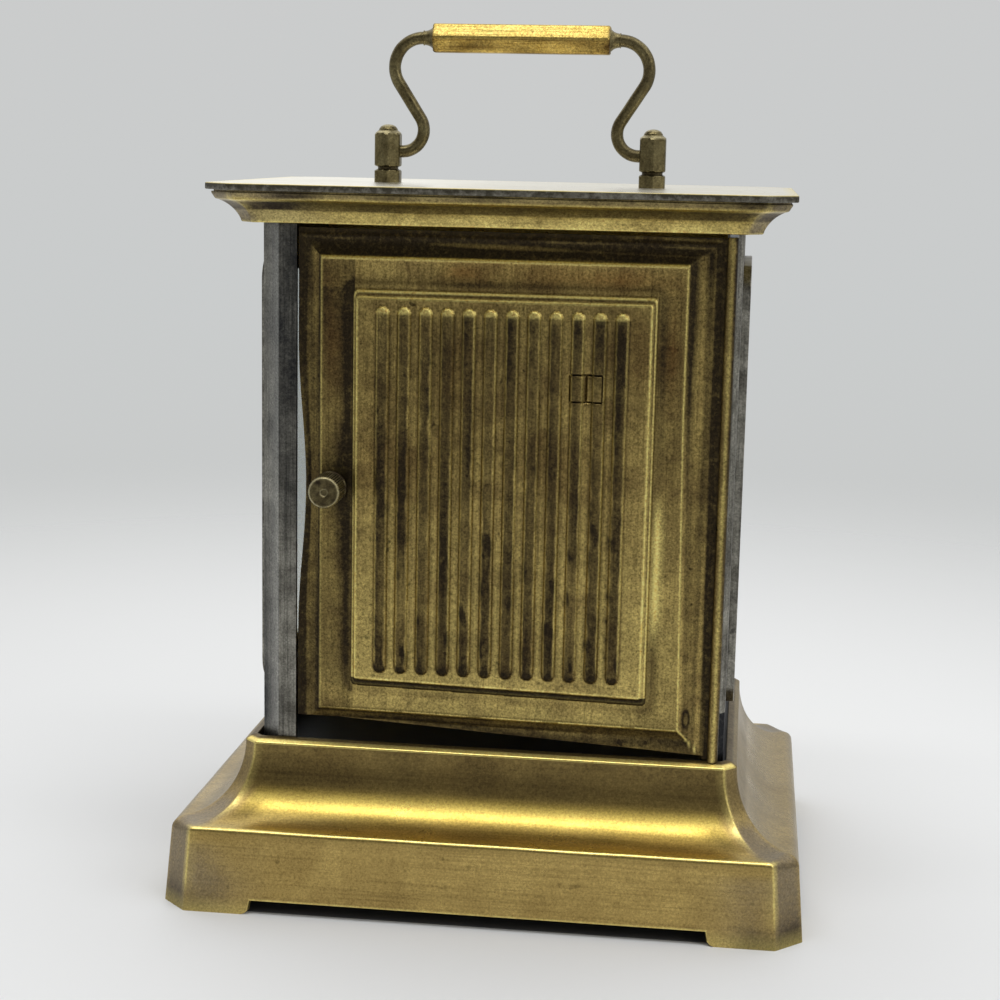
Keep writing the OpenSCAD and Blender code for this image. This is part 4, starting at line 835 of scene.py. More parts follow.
        # Brown stain above the feet and on the ledge, painted shade under the brow, stain with a painted dark
        # reflection in the upper cove, and the inside of the shell painted dark as shade
        soil_and_brow_shade = (0.6 + 0.3 * (points[..., 0] < 0)) * (1 - smooth_step(0, 7.5, z))
        soil_and_brow_shade *= smooth_step(54, 68, x + 4 * cloud)
        soil_and_brow_shade += 0.3 * smooth_step(0.2, 0.8, past) * (1 - smooth_step(2, 14, z)) * (1 - end)
        # Painted shade: a dark line just under the brow
        soil_and_brow_shade += 0.2 * peak(z, self.wall_h - 1.4, 0.6)
        # Upper cove: stain together with a painted dark reflection of the dim room that it faces
        cove = (0.6 + 0.08 * cloud) * smooth_step(24.6, 26.6, z) * (1 - 0.5 * end) * (1 - 0.4 * facet)
        corner = 0.5 * peak(past, -4.5, 3) * smooth_step(19.5, 20.5, z) * (1 - smooth_step(22, 25, z))
        # The inside of the shell is painted fully dark as painted shade
        tarnish = (soil_and_brow_shade + cove + corner) * outside + 0.45 * end * on_lip + 0.72 * ledge + 1.0 * shaded_inside
        # A lemon tint painted on the band where the overhead lamp's highlight falls
        highlight_tint = 0.75 * peak(z, 23.2, 2.6) * outside * (past < -2)
        return clipped(tarnish=tarnish, rubbed=rubbed, dull=dull, blush=highlight_tint)

    def level(self, share: float, z: float, margin: float, x_steps: np.ndarray,
              y_steps: np.ndarray) -> np.ndarray:
        """Ring at a height, part of the way from the foot's outline to the rim's."""
        ring = self.foot.ring(margin, 0.9, x_steps, y_steps, self.rim, share)
        return np.column_stack([ring, np.full(len(ring), z)])

    def edge(self, arch: np.ndarray, share: np.ndarray, margin: float, x_steps: np.ndarray,
             y_steps: np.ndarray) -> np.ndarray:
        """Lower edge, which follows the arch and leans in with the wall.

        Args:
            arch: Height at each column.
            share: How far the wall leans in at that height, in millimetres.
            margin: Distance inside the outline.
            x_steps: Shares along the long sides.
            y_steps: Shares along the short sides.

        Returns:
            Array of columns x 3.
        """
        ring = self.foot.ring(margin, 0.9, x_steps, y_steps)
        lean = self.foot.ring(margin + 1.0, 0.9, x_steps, y_steps) - ring
        return np.column_stack([ring + lean * share[:, None], arch])


@dataclass
class Cornice:
    """Pressed cornice, a leaning cove under a stepped lip, and the lid on its narrow neck."""

    finishes: Finishes
    foot: CantedShape = field(default_factory=lambda: CantedShape(113.2, 78.7, 3.0))
    lid: CantedShape = field(default_factory=lambda: CantedShape(128, 93.5, 6.4))
    roof_z: float = 153.1
    height: float = 7.0
    reach: float = 7.4
    sheet: float = 0.8
    lid_t: float = 1.5
    cove_turns: tuple[float, float] = (68, 22)
    cove_start: tuple[float, float] = (0.35, 0.45)
    cove_size: float = 4.4

    def profile(self) -> np.ndarray:
        """Outside of the cornice: a small edge, a cove, then a stepped lip.

        The cove's slope falls from one angle to another: its points follow the sine and the cosine of the
        angle, scaled to the cove's width and height.

        Returns:
            Rows of (distance from the foot outwards, height above the roof).
        """
        edge = np.array([[0.0, 0.0], [0.14, 0.04], [0.3, 0.2], [0.38, 0.42]])
        first, last = (math.radians(a) for a in self.cove_turns)
        a = np.linspace(first, last, 22)[1:]
        (out_0, up_0), size = self.cove_start, self.cove_size
        out = out_0 + size * (math.sin(first) - np.sin(a)) / (math.sin(first) - math.sin(last))
        up = up_0 + size * (np.cos(a) - math.cos(first)) / (math.cos(last) - math.cos(first))
        corners = [(4.75, 4.85), (5.45, 5.05), (5.95, 5.9), (6.2, 6.3), (6.2, 6.6), (5.7, 6.6), (5.7, 7)]
        lip = rounded_profile(corners, [0, 0.25, 0.2, 0.15, 0.12, 0.1, 0], 4)
        return np.concatenate([edge, np.stack([out, up], axis=1), lip[1:]])

    def build(self) -> None:
        """Builds the tray, closed below, and the lid."""
        steps = np.linspace(-1, 1, 61), np.linspace(-1, 1, 41)
        outside = self.profile()
        rows = [self.level(out, up, 0.0, *steps) for out, up in outside]
        inside = [self.level(out, up + self.sheet, self.sheet, *steps) for out, up in outside[3:-6:2]]
        bottom = [rows[0] * np.array([k, k, 1.0]) for k in (0.0, 0.5)]
        top = inside[0] * np.array([0.0, 0.0, 1.0])
        points = np.stack([*bottom, *rows, *inside[::-1], top])
        height = points[..., 2] - self.roof_z
        dents = 0.04 * wave_noise(points[..., 0], points[..., 1], 26, 11)
        points[..., 2] += np.where(height > 6.2, 0.0, dents)
        shades = self.wear(points, height)
        piece = grid_piece("pressed_cornice", points, self.finishes.cornice_brass, sharp=32, shades=shades)
        use(piece, "clock_case", "case_brass", "cornice")
        self.lid_plate(*steps)

    def wear(self, points: np.ndarray, height: np.ndarray) -> Shades:
        """Stained lip, stain with painted shade in the upper cove, grey ends, lines worn bright along the lip
        and the lower edge, and a painted highlight band low on the cove.

        Args:
            points: The grid of points.
            height: Height of each point above the roof.

        Returns:
            Values per point for the finish.
        """
        x = points[..., 0]
        cloud = wave_noise(x + points[..., 1], height * 2, 16, 3)
        lip = (0.42 + 0.3 * cloud) * smooth_step(5.15, 5.5, height)
        # Olive band under the lip: tarnish with painted shade from the lip's overhang
        olive_and_lip_shade = (0.62 + 0.12 * cloud) * smooth_step(2.5, 3.0, height) * (1 - smooth_step(4.5, 4.8, height))
        past = np.abs(x) - np.max(np.abs(x), axis=1, keepdims=True) + 4.4
        side = smooth_step(0, 2, past)
        corner = 0.25 * smooth_step(-22, -2, past) * (0.6 + 0.5 * cloud)
        grey = smooth_step(-24, -3, past) * (x > 0) * (0.65 + 0.3 * cloud)
        rubbed = 0.75 * peak(height, 4.95, 0.2) + 0.7 * (1 - smooth_step(0.2, 0.5, height))
        # The band from 0.4 to 2.8 mm up is a painted highlight low on the cove
        rubbed += 0.3 * peak(past, 0, 0.4) + 0.22 * (height > 0.4) * (height < 2.8) * (0.6 + cloud)
        dull = 0.9 * side + grey + 0.5 * smooth_step(5.2, 5.6, height)
        return clipped(tarnish=lip + olive_and_lip_shade + corner, rubbed=rubbed * (1 - 0.6 * side), dull=dull)

    def lid_plate(self, x_steps: np.ndarray, y_steps: np.ndarray) -> None:
        """Builds the flat lid: pale above, with dark edges, painted shade on its underside and a worn line
        round its top.

        Args:
            x_steps: Shares along the long sides.
            y_steps: Shares along the short sides.
        """
        low, high = self.roof_z + self.height, self.roof_z + self.height + self.lid_t
        profile = [(20, low), (0.25, low), (0.05, low + 0.08), (0, low + 0.25), (0, high - 0.32),
                   (0.06, high - 0.12), (0.22, high - 0.02), (0.45, high), (3, high), (12, high), (24, high),
                   (36, high)]
        rows = []
        for margin, z in profile:
            ring = self.lid.ring(margin, 0.5, x_steps, y_steps)
            rows.append(np.column_stack([ring, np.full(len(ring), z)]))
        centre = [row * np.array([0.0, 0.0, 1.0]) for row in (rows[0], rows[-1])]
        points = np.stack([centre[0], *rows, centre[1]])
        z = points[..., 2]
        margin = np.array([30, *[m for m, _ in profile], 40])[:, None] * np.ones_like(z)
        cloud = wave_noise(points[..., 0], points[..., 1], 30, 61)
        # Painted shade: the lid's underside is darkened
        under = z < low + 0.3
        edge = (z < high - 0.1) & ~under
        tarnish = 0.9 * under + (1.0 + 0.1 * cloud) * edge + 0.03 * (1 + cloud) * (margin > 1)
        rubbed = 0.9 * peak(margin, 0.3, 0.25) * (z > high - 0.15)
        piece = grid_piece("flat_lid", points, self.finishes.lid_nickel, sharp=32,
                           shades=clipped(tarnish=tarnish, rubbed=rubbed))
        use(piece, "clock_case", "lid_metal", "lid_plate")

    def level(self, out: float, up: float, margin: float, x_steps: np.ndarray,
              y_steps: np.ndarray) -> np.ndarray:
        """Ring at a distance outside the foot and a height above the roof."""
        ring = self.foot.ring(margin, 0.5, x_steps, y_steps, self.lid, out / self.reach)
        return np.column_stack([ring, np.full(len(ring), self.roof_z + up)])


@dataclass
class RearDoor:
    """Pressed door: a sunk border, a raised field, a raised panel with twelve ribs, and a cut tab."""

    finishes: Finishes
    left: float = -48.6
    right: float = 43.9
    low: float = 37.3
    top: float = 152.2
    lift: float = 4.9
    sheet_y: float = 36.6
    sheet: float = 0.8
    field_box: Four = (-42.8, 38.7, 42.85, 146.2)
    field_tilt: float = 1.1
    panel_box: Four = (-35.4, 31.4, 48.4, 139.4)
    inner_box: Four = (-34.05, 30.5, 50.3, 137.5)
    panel_tilt: float = 1.35
    field_rise: float = 1.4
    panel_rise: float = 1.3
    rib_count: int = 12
    rib_first: float = 24.62
    rib_pitch: float = 4.76
    rib_w: float = 3.0
    rib_rise: float = 0.85
    rib_span: tuple[float, float] = (53.2, 135.8)
    bow: float = 1.7
    bow_z: float = 95.2
    lean: float = 1.2
    tab: Four = (-23.8, -16.7, 116.2, 122.1)
    dent: Four = (-44.4, 45.6, 0.7, 1.9)

    def rib_places(self) -> np.ndarray:
        """Middle of each rib along X."""
        return self.rib_first - self.rib_pitch * np.arange(self.rib_count)

    @staticmethod
    def depth_inside(x: np.ndarray, z: np.ndarray, box: Four, radius: float,
                     tilt: float = 0.0) -> np.ndarray:
        """Distance inside a box with rounded corners, negative outside: the rounded box distance formula.

        With no radius the distance outside is the greater of the two side distances, which makes mitres.

        Args:
            x: Places along X.
            z: Heights.
            box: Least and greatest X, least and greatest height.
            radius: Radius of the corners.
            tilt: How far the lower side climbs on its way to the greatest X.

        Returns:
            The distance at each point.
        """
        x0, x1, z0, z1 = box
        share = np.clip((x - x0) / (x1 - x0), 0, 1)
        low = z0 + tilt * share
        qx = np.abs(x - (x0 + x1) / 2) - (x1 - x0) / 2 + radius
        qz = np.maximum(low - z, z - z1) + radius
        if radius == 0:
            return -np.maximum(qx, qz)
        outside = np.hypot(np.maximum(qx, 0), np.maximum(qz, 0))
        return radius - outside - np.minimum(np.maximum(qx, qz), 0)

    def bevel(self, x: np.ndarray, z: np.ndarray) -> tuple[np.ndarray, np.ndarray]:
        """Places each point in the panel's sloping edge.

        Args:
            x: Places along X.
            z: Heights.

        Returns:
            Distance inside the panel's outer line, and share passed from that line to the inner one.
        """
        outer = self.depth_inside(x, z, self.panel_box, 1.1, self.panel_tilt)
        inner = self.depth_inside(x, z, self.inner_box, 0.5, self.panel_tilt)
        share = np.clip(outer / np.maximum(outer - inner, 1e-6), 0, 1)
        return outer, np.where(outer <= 0, 0, np.where(inner >= 0, 1, share))

    def rib_cover(self, x: np.ndarray, z: np.ndarray) -> tuple[np.ndarray, np.ndarray]:
        """Places each point against the nearest rib.

        Args:
            x: Places along X.
            z: Heights.

        Returns:
            Signed distance along X from the rib, and distance from its middle line in half widths.
        """
        offsets = x[..., None] - self.rib_places()
        nearest = np.take_along_axis(offsets, np.argmin(np.abs(offsets), axis=-1)[..., None], axis=-1)[..., 0]
        half = self.rib_w / 2
        past = np.maximum(np.maximum(self.rib_span[0] + half - z, z - self.rib_span[1] + half), 0)
        return nearest, np.hypot(nearest, past) / half

    def heights(self, x: np.ndarray, z: np.ndarray) -> np.ndarray:
        """Height of the pressing above the sheet.

        The border is a cove that rises towards the field and ends in a crest, the panel rises in two small
        steps with a slope between them, and a rib is a round bar whose ends are half balls.

        Args:
            x: Places along X.
            z: Heights.

        Returns:
            The height at each point.
        """
        depth = self.depth_inside(x, z, self.field_box, 0, self.field_tilt)
        outer, share = self.bevel(x, z)
        border = 1.25 * np.clip(1 + depth / 3.6, 0, 1) ** 1.7
        rolled = 0.2 * peak(depth, -4.4, 0.5)
        step = smooth_step(-0.12, 0.3, depth)
        level = border * (1 - step) + rolled + self.field_rise * step + 0.16 * peak(depth, 0.32, 0.3)
        level -= 0.16 * smooth_step(0.6, 3.0, depth) * (1 - smooth_step(-2.2, -0.8, outer))
        level += self.panel_rise * (0.42 * smooth_step(0, 0.28, share) + 0.16 * share
                                    + 0.42 * smooth_step(0.7, 1.0, share))
        away = self.rib_cover(x, z)[1]
        bar = self.rib_rise * np.sqrt(np.clip(1 - away ** 2, 0, 1))
        return level + bar * (1 - 0.25 * smooth_step(0.7, 1.0, away))

    def columns(self) -> np.ndarray:
        """Places of the grid's columns: fine across ribs and slopes, wider on the flats.

        Returns:
            Places along X in rising order.
        """
        marks = [np.linspace(self.left, self.right, 60)]
        marks += [rib + np.linspace(-1.6, 1.6, 15) for rib in self.rib_places()]
        for edge in (*self.field_box[:2], *self.panel_box[:2]):
            marks.append(edge + np.linspace(-1.9, 1.9, 17))
        marks += [self.left + np.linspace(0, 5.8, 25), self.right - np.linspace(0, 5.2, 23)]
        marks += [place + np.linspace(-0.4, 0.4, 7) for place in (*self.tab[:2], sum(self.tab[:2]) / 2)]
        return self.tidy(np.concatenate(marks), self.left, self.right)

    def rows(self) -> np.ndarray:
        """Places of the grid's rows: fine at the ends of the ribs and at the slopes.

        Returns:
            Heights in rising order.
        """
        marks = [np.linspace(self.low, self.top, 84), self.top - np.linspace(0, 6, 25)]
        for low, high in (self.field_box[2:], self.panel_box[2:]):
            marks += [low + np.linspace(-1.9, 4.2, 27), high + np.linspace(-1.9, 1.9, 17)]
        marks += [edge + np.linspace(-0.4, 0.4, 7) for edge in self.tab[2:]]
        marks.append(self.rib_span[0] + np.linspace(-0.4, 2.0, 13))
        marks.append(self.rib_span[1] - np.linspace(-0.4, 2.0, 13))
        return self.tidy(np.concatenate(marks), self.low, self.top)

    @staticmethod
    def tidy(marks: np.ndarray, low: float, high: float) -> np.ndarray:
        """Sorts places, keeps them in range and drops those closer together than 0.09 mm.

        Args:
            marks: Places in any order.
            low: Least place.
            high: Greatest place, which is always kept.

        Returns:
            The places that are left.
        """
        marks = np.sort(marks[(marks >= low) & (marks <= high)])
        keep = [marks[0]]
        for mark in marks[1:]:
            if mark - keep[-1] > 0.09:
                keep.append(mark)
        keep[-1] = high
        return np.array(keep)

    def build(self) -> None:
        """Builds the sheet as two grids, front and back, joined round the edge, with its hinge barrel."""
        across, up = self.columns(), self.rows()
        x, z = np.meshgrid(across, up)
        height = self.heights(x, z)
        shades = DoorWear(self, x, z).shades()
        gx, gz = self.warp(x, z)
        dent = peak(np.hypot((x - self.dent[0]) / self.dent[2], (z - self.dent[1]) / self.dent[3]), 1, 0.3)
        height += 0.07 * wave_noise(x, z, 30, 17) - 0.15 * dent
        cut = self.tab_cut(x, z)
        shades["tarnish"] = np.clip(shades["tarnish"] + 0.45 * cut + 0.7 * dent, 0, 1)
        face = np.stack([gx, self.sheet_y + height - 0.45 * cut, gz], axis=-1)
        back = np.stack([gx, self.sheet_y + height - self.sheet, gz], axis=-1)
        points = np.concatenate([face, back[:, ::-1]], axis=1)
        ends = np.concatenate([points[:1], points, points[-1:]])
        ends[0] = self.fold(points[0])
        ends[-1] = self.fold(points[-1])
        for label, value in shades.items():
            both = np.concatenate([value, value[:, ::-1]], axis=1)
            shades[label] = np.concatenate([both[:1], both, both[-1:]])
        piece = grid_piece("ribbed_door", ends, self.finishes.door_brass, sharp=50, shades=shades)
        use(piece, "door", "door_brass", "rear_door")
        self.barrel()

    @staticmethod
    def fold(row: np.ndarray) -> np.ndarray:
        """Middle line between the face and the back of one end row, which closes that end."""
        return (row + row[::-1]) / 2

    def warp(self, x: np.ndarray, z: np.ndarray) -> tuple[np.ndarray, np.ndarray]:
        """Bends the plain rectangle.

        The knob side bows inwards, the lower edge climbs towards the knob, and the field's edge beside the
        hinge leans inwards on its way up.

        Args:
            x: Places along X.
            z: Heights.

        Returns:
            The bent places along X and the bent heights.
        """
        u = np.clip((z - self.bow_z) / 33, -1, 1)
        bow = self.bow * (1 + np.cos(np.pi * u)) / 2
        near_side = smooth_step(self.field_box[1] + 0.6, self.right, x)
        climb = self.lift * np.clip((x - self.left) / (self.right - self.left), 0, 1)
        near_foot = 1 - smooth_step(self.low, self.field_box[2] - 0.6, z)
        crest = smooth_step(self.left + 1.6, self.field_box[0] - 0.6, x)
        crest *= 1 - smooth_step(self.field_box[0] + 1.5, self.panel_box[0] - 1.5, x)
        lean = self.lean * np.clip((z - self.field_box[2]) / 70, 0, 1)
        return x - bow * near_side + lean * crest, z + climb * near_foot

    def tab_cut(self, x: np.ndarray, z: np.ndarray) -> np.ndarray:
        """Share of the cut at each point: two level slits joined by an upright one, with faint upright ends.

        Args:
            x: Places along X.
            z: Heights.

        Returns:
            0 where the sheet is whole to 1 in the middle of a slit.
        """
        x0, x1, z0, z1 = self.tab
        in_x = (x > x0) & (x < x1)
        in_z = (z > z0) & (z < z1)
        level = np.minimum(np.abs(z - z0), np.abs(z - z1))
        slit = np.where(in_x, peak(level, 0, 0.2), 0)
        side = np.minimum(np.abs(x - (x0 + x1) / 2), np.abs(x - x0) + 0.12)
        upright = np.where(in_z, peak(np.minimum(side, np.abs(x - x1) + 0.12), 0, 0.2), 0)
        return np.maximum(slit, upright)

    def barrel(self) -> None:
        """Rolled hinge barrel with the door's edge wrapped round it."""
        r, x, y = 1.2, -50.6, 37.0
        low, high = self.low - 1.2, self.top + 0.2
        bore, soft = 0.66, 0.15
        profile = np.array([[bore, low + 0.3], [bore, low], [r - soft, low], [r, low + soft],
                            [r, high - soft], [r - soft, high], [bore, high], [bore, high - 0.3]])
        body = lathe(profile, "Z", (x, y, 0), 40)
        turn = np.arctan2(body[..., 1] - y, body[..., 0] - x)
        streak = wave_noise(turn * 3, body[..., 2] * 0.3, 9, 51)
        upper = smooth_step(105, 140, body[..., 2])
        stain = 0.3 + 0.35 * upper + 0.25 * streak + 0.4 * smooth_step(1.9, 2.3, turn)
        worn = clipped(tarnish=stain, rubbed=(0.5 - 0.3 * upper) * peak(turn, 1.62, 0.3))
        piece = grid_piece("hinge_barrel", body, self.finishes.door_brass, wrap_rows=True, sharp=40,
                           shades=worn)
        use(piece, "door", "door_brass")
        lap_x = np.linspace(x, self.left + 0.4, 12)
        lap = np.array([(px, y - r + 0.02, py) for px in lap_x for py in (low + 0.4, high - 0.4)])
        strip = lap.reshape(len(lap_x), 2, 3)
        outer = strip + np.array([0, 0.8, 0])
        loop = np.concatenate([strip, outer[::-1]])
        leaf = self.capped(loop)
        sheet = grid_piece("hinge_leaf", leaf, self.finishes.door_brass, wrap_rows=True, wrap_cols=False,
                           sharp=40, shades={"tarnish": np.full(leaf.shape[:2], 0.95)})
        use(sheet, "door", "door_brass")

    @staticmethod
    def capped(loop: np.ndarray) -> np.ndarray:
        """Adds a middle point column at each end of a flat loop, which closes its ends."""
        middle = (loop + loop[::-1]) / 2
        return np.concatenate([middle[:, :1], loop, middle[:, -1:]], axis=1)


@dataclass
class DoorWear:
    """Stains, painted shade, worn bright lines, painted highlights and copper patches of the door, worked out
    for one grid of points.

    The border is dark, most of all above, where painted shade under the cornice adds to the stain. Crests and
    the panel's two lines are worn bright and carry painted highlights. Ribs are grimy in their lower half; a
    painted highlight lies on their upper ends and painted shade makes their lower ends black.
    """

    door: RearDoor
    x: np.ndarray
    z: np.ndarray
    drops: tuple[tuple[float, float, float], ...] = (
        (-26.7, 85.4, 0.8), (-26.3, 73.2, 0.7), (-26.1, 67.4, 0.4), (-26.2, 63.5, 0.45), (-26.1, 60, 0.4),
        (-21.8, 62.1, 0.7), (23.9, 91.2, 0.9))
    thumbed: Four = (34.5, 94, 3, 8)
    stains: tuple[Four, ...] = ((33.2, 105, 1.8, 5), (33.4, 83, 1.6, 6))
    copper: tuple[Four, ...] = (
        (36.2, 128, 2.4, 10), (7.5, 143.2, 3.5, 1.5), (-25, 142.6, 13, 2.2), (-39, 128, 2.6, 10))

    def __post_init__(self) -> None:
        """Measures each point against the lines of the pressing."""
        door, x, z = self.door, self.x, self.z
        self.depth = door.depth_inside(x, z, door.field_box, 0, door.field_tilt)
        self.outer, self.share = door.bevel(x, z)
        self.inner = door.depth_inside(x, z, door.inner_box, 0.5, door.panel_tilt)
        self.nearest, self.away = door.rib_cover(x, z)
        x0, x1, z0, z1 = door.field_box
        middle_x, middle_z = (x0 + x1) / 2, (z0 + z1) / 2
        level_side = np.abs(z - middle_z) - 51.5 > np.abs(x - middle_x) - 40.75
        self.top, self.bottom = level_side & (z > middle_z), level_side & (z < middle_z)
        self.border = 1 - smooth_step(-0.25, 0.0, self.depth)
        self.inside = 1 - self.border
        self.on_rib = (self.away < 0.95) * 1.0
        self.upper = smooth_step(80, 138, z)
        self.streak = wave_noise(x * 3, z * 0.12, 8, 21)
        self.cloud = wave_noise(x, z * 0.8, 24, 30)
        left, right, low, _ = door.inner_box
        self.panel_foot = low + door.panel_tilt * (x - left) / (right - left) + 0.1

    def border_stain(self) -> np.ndarray:
        """Dark border: streaked along its length, with a dark line beside each crest on the hinge side. Its
        top is darkest, stain with painted shade under the cornice, and its outermost strip on each side
        carries painted shade of the gap beside the pillar.

        Returns:
            How dark each point is made, by stains and by painted shade.
        """
        depth, upper = self.depth, self.upper
        level_streak = wave_noise(self.x * 0.12, self.z * 3.6, 8, 22)
        # The outermost strip on each side darkens as painted shade of the gap beside the pillar
        knob_side = 0.55 + 0.45 * smooth_step(-3.0, -3.7, depth) + 0.25 * smooth_step(-1.3, -0.9, depth)
        hinge_side = 0.26 + 0.4 * upper + 0.7 * smooth_step(-4.3, -5.0, depth) - 0.2 * peak(depth, -2.2, 0.5)
        hinge_side += 0.35 * peak(depth, -0.9, 0.35) + 0.35 * peak(depth, -3.4, 0.45)
        sides = np.where(self.x > 0, knob_side, hinge_side) + 0.3 * self.streak + 0.08 * upper
        # The top border's extra darkness is painted shade under the cornice, laid over the stain
        ends = np.where(self.top, 1.12 + 0.42 * level_streak, 0.72 + 0.2 * level_streak)
        stain = np.where(self.top | self.bottom, ends, sides)
        return self.border * (stain + 0.6 * peak(depth, -0.25, 0.2) * (self.x > 0))

    def field_stain(self) -> np.ndarray:
        """Film on the field, thicker above and beside the panel, a little dark in the panel's sloping step,
        and painted shade on the step's lower slope, which faces down.

        Returns:
            How dark each point is made, by stains and by painted shade.
        """
        x, z, share = self.x, self.z, self.share
        beside = np.where(x > 31, 0.38, np.where(x < -33, 0.16, 0.0)) * (share < 0.1)
        above = (0.26 - 0.18 * (z > self.door.panel_box[3])) * self.upper
        stain = self.inside * (0.1 + above + 0.12 * self.cloud + beside)
        round_panel = np.where(x > 31, 0.36 + 0.45 * self.upper + 0.1 * self.cloud, 0.28 + 0.15 * self.cloud)
        stain += peak(self.outer, -1.2, 0.95) * self.inside * round_panel
        in_step = (share > 0.02) & (share < 0.9)
        # Painted shade: the panel's lower slope faces down and is darkened fully
        return stain + in_step * (1.0 * (z < self.panel_foot) * (np.abs(x + 2) < 33.6) + 0.22 * (z > 60))

    def rib_stain(self) -> np.ndarray:
        """Grime along the ribs' tops and scattered spots, with painted shade: a dark line round each rib and
        black lower ends.

        Returns:
            How dark each point is made, by grime and by painted shade.
        """
        x, z = self.x, self.z
        core = 1 - smooth_step(0.5, 0.85, self.away + 0.12 * wave_noise(x * 0.7, z * 1.1, 7, 9))
        grime = 0.5 + 0.16 * smooth_step(118, 84, z) + 0.14 * wave_noise(x * 2.3, z * 0.35, 10, 4)
        # Painted shade: a dark line round each rib's foot, and near black on the ribs' lower ends, which face
        # down
        stain = core * grime + 0.35 * peak(self.away, 1.04, 0.1) * (z < 134)
        stain += 0.85 * self.on_rib * (1 - smooth_step(0, 2.6, z - self.door.rib_span[0]))
        spots = smooth_step(0.75, 1.1, wave_noise(x * 1.6, z * 0.7, 7, 77)) * smooth_step(100, 70, z)
        return stain + 0.6 * spots * self.on_rib

    def marks(self) -> np.ndarray:
        """Single stains: the thumbed place beside the knob, two more above and below it, and black drops.

        Returns:
            Amount of tarnish at each point.
        """
        x, z = self.x, self.z
        stain = 0.6 * spot(x, z, self.thumbed) * (self.away > 1)
        stain += sum(0.45 * spot(x, z, place) for place in self.stains) * self.inside
        return stain + sum(0.9 * spot(x, z, (px, pz, r, 1.5 * r)) for px, pz, r in self.drops)

    def rubbed_lines(self) -> np.ndarray:
        """Bright lines, worn metal with painted highlights: the crest, brightest above; the panel's two
        lines, bright on the upper edge and dim on the lower; painted glints on the ribs' sides; a painted
        highlight on the ribs' upper ends; the mitre.

        Returns:
            How bright each point is made, by wear and by painted highlights.
        """
        x, z, door = self.x, self.z, self.door
        crest = peak(self.depth, 0.2, np.where(self.top, 0.28, 0.2))
        crest *= np.where(self.top, 1.1, np.where(x < 0, 0.7, 0.25 + 0.3 * self.upper))
        lines = peak(self.share, 0.32, 0.13) * (self.inner < -0.2) + 1.1 * peak(self.inner, 0.05, 0.28)
        # Painted highlight: the panel's lines are brightened on the upper edge and dimmed on the lower one,
        # and below the ribs' upper ends and sides get painted highlights
        lines *= np.where(z > door.inner_box[3] - 0.4, 1.25, np.where(z < self.panel_foot, 0.1, 0.8))
        cap = self.on_rib * smooth_step(door.rib_span[1] - 2.2, door.rib_span[1] - 1.0, z)
        glint = peak(np.abs(self.nearest), 1.25, 0.16) * (self.away < 1.05) * (0.6 + 0.5 * self.streak)
        left, low = door.field_box[0], door.field_box[2]
        mitre = peak(x - left - 0.9 * (z - low), 0, 0.3) * (x < left + 0.2) * (x > left - 4.2)
        return crest + lines + 0.8 * cap + 0.5 * glint * (z > 56) + 0.95 * mitre

    def polish(self, tarnish: np.ndarray) -> np.ndarray:
        """Paler ground low on the door where no stain lies, and a painted highlight: the long sheen beside
        the panel.

        Args:
            tarnish: How dark each point is made, by stains and by painted shade.

        Returns:
            How bright each point is made, by wear and by a painted highlight.
        """
        low_ground = (0.24 + 0.14 * self.cloud) * self.inside * (1 - self.on_rib)
        low_ground *= smooth_step(105, 60, self.z)
        # Painted highlight: a sheen along the field's strip beside the panel
        sheen = peak(self.x, -36.7, 0.85) * smooth_step(60, 72, self.z) * (1 - smooth_step(88, 98, self.z))
        return low_ground * np.clip(1 - 1.5 * tarnish, 0, 1) + 0.95 * sheen

    def shades(self) -> Shades:
        """Adds up the stains and painted shade, the worn bright places and painted highlights, and the copper
        patches.

        Returns:
            Values from 0 to 1 per point for the finish.
        """
        tarnish = self.border_stain() + self.field_stain() + self.rib_stain() + self.marks()
        rubbed = self.rubbed_lines() + self.polish(tarnish)
        blush = sum(0.65 * spot(self.x, self.z, place) for place in self.copper)
        blush = self.inside * (blush + 0.3 * np.clip(self.cloud, 0, 1) * (0.4 + 0.6 * self.upper))
        return clipped(tarnish=tarnish, rubbed=rubbed, blush=blush)


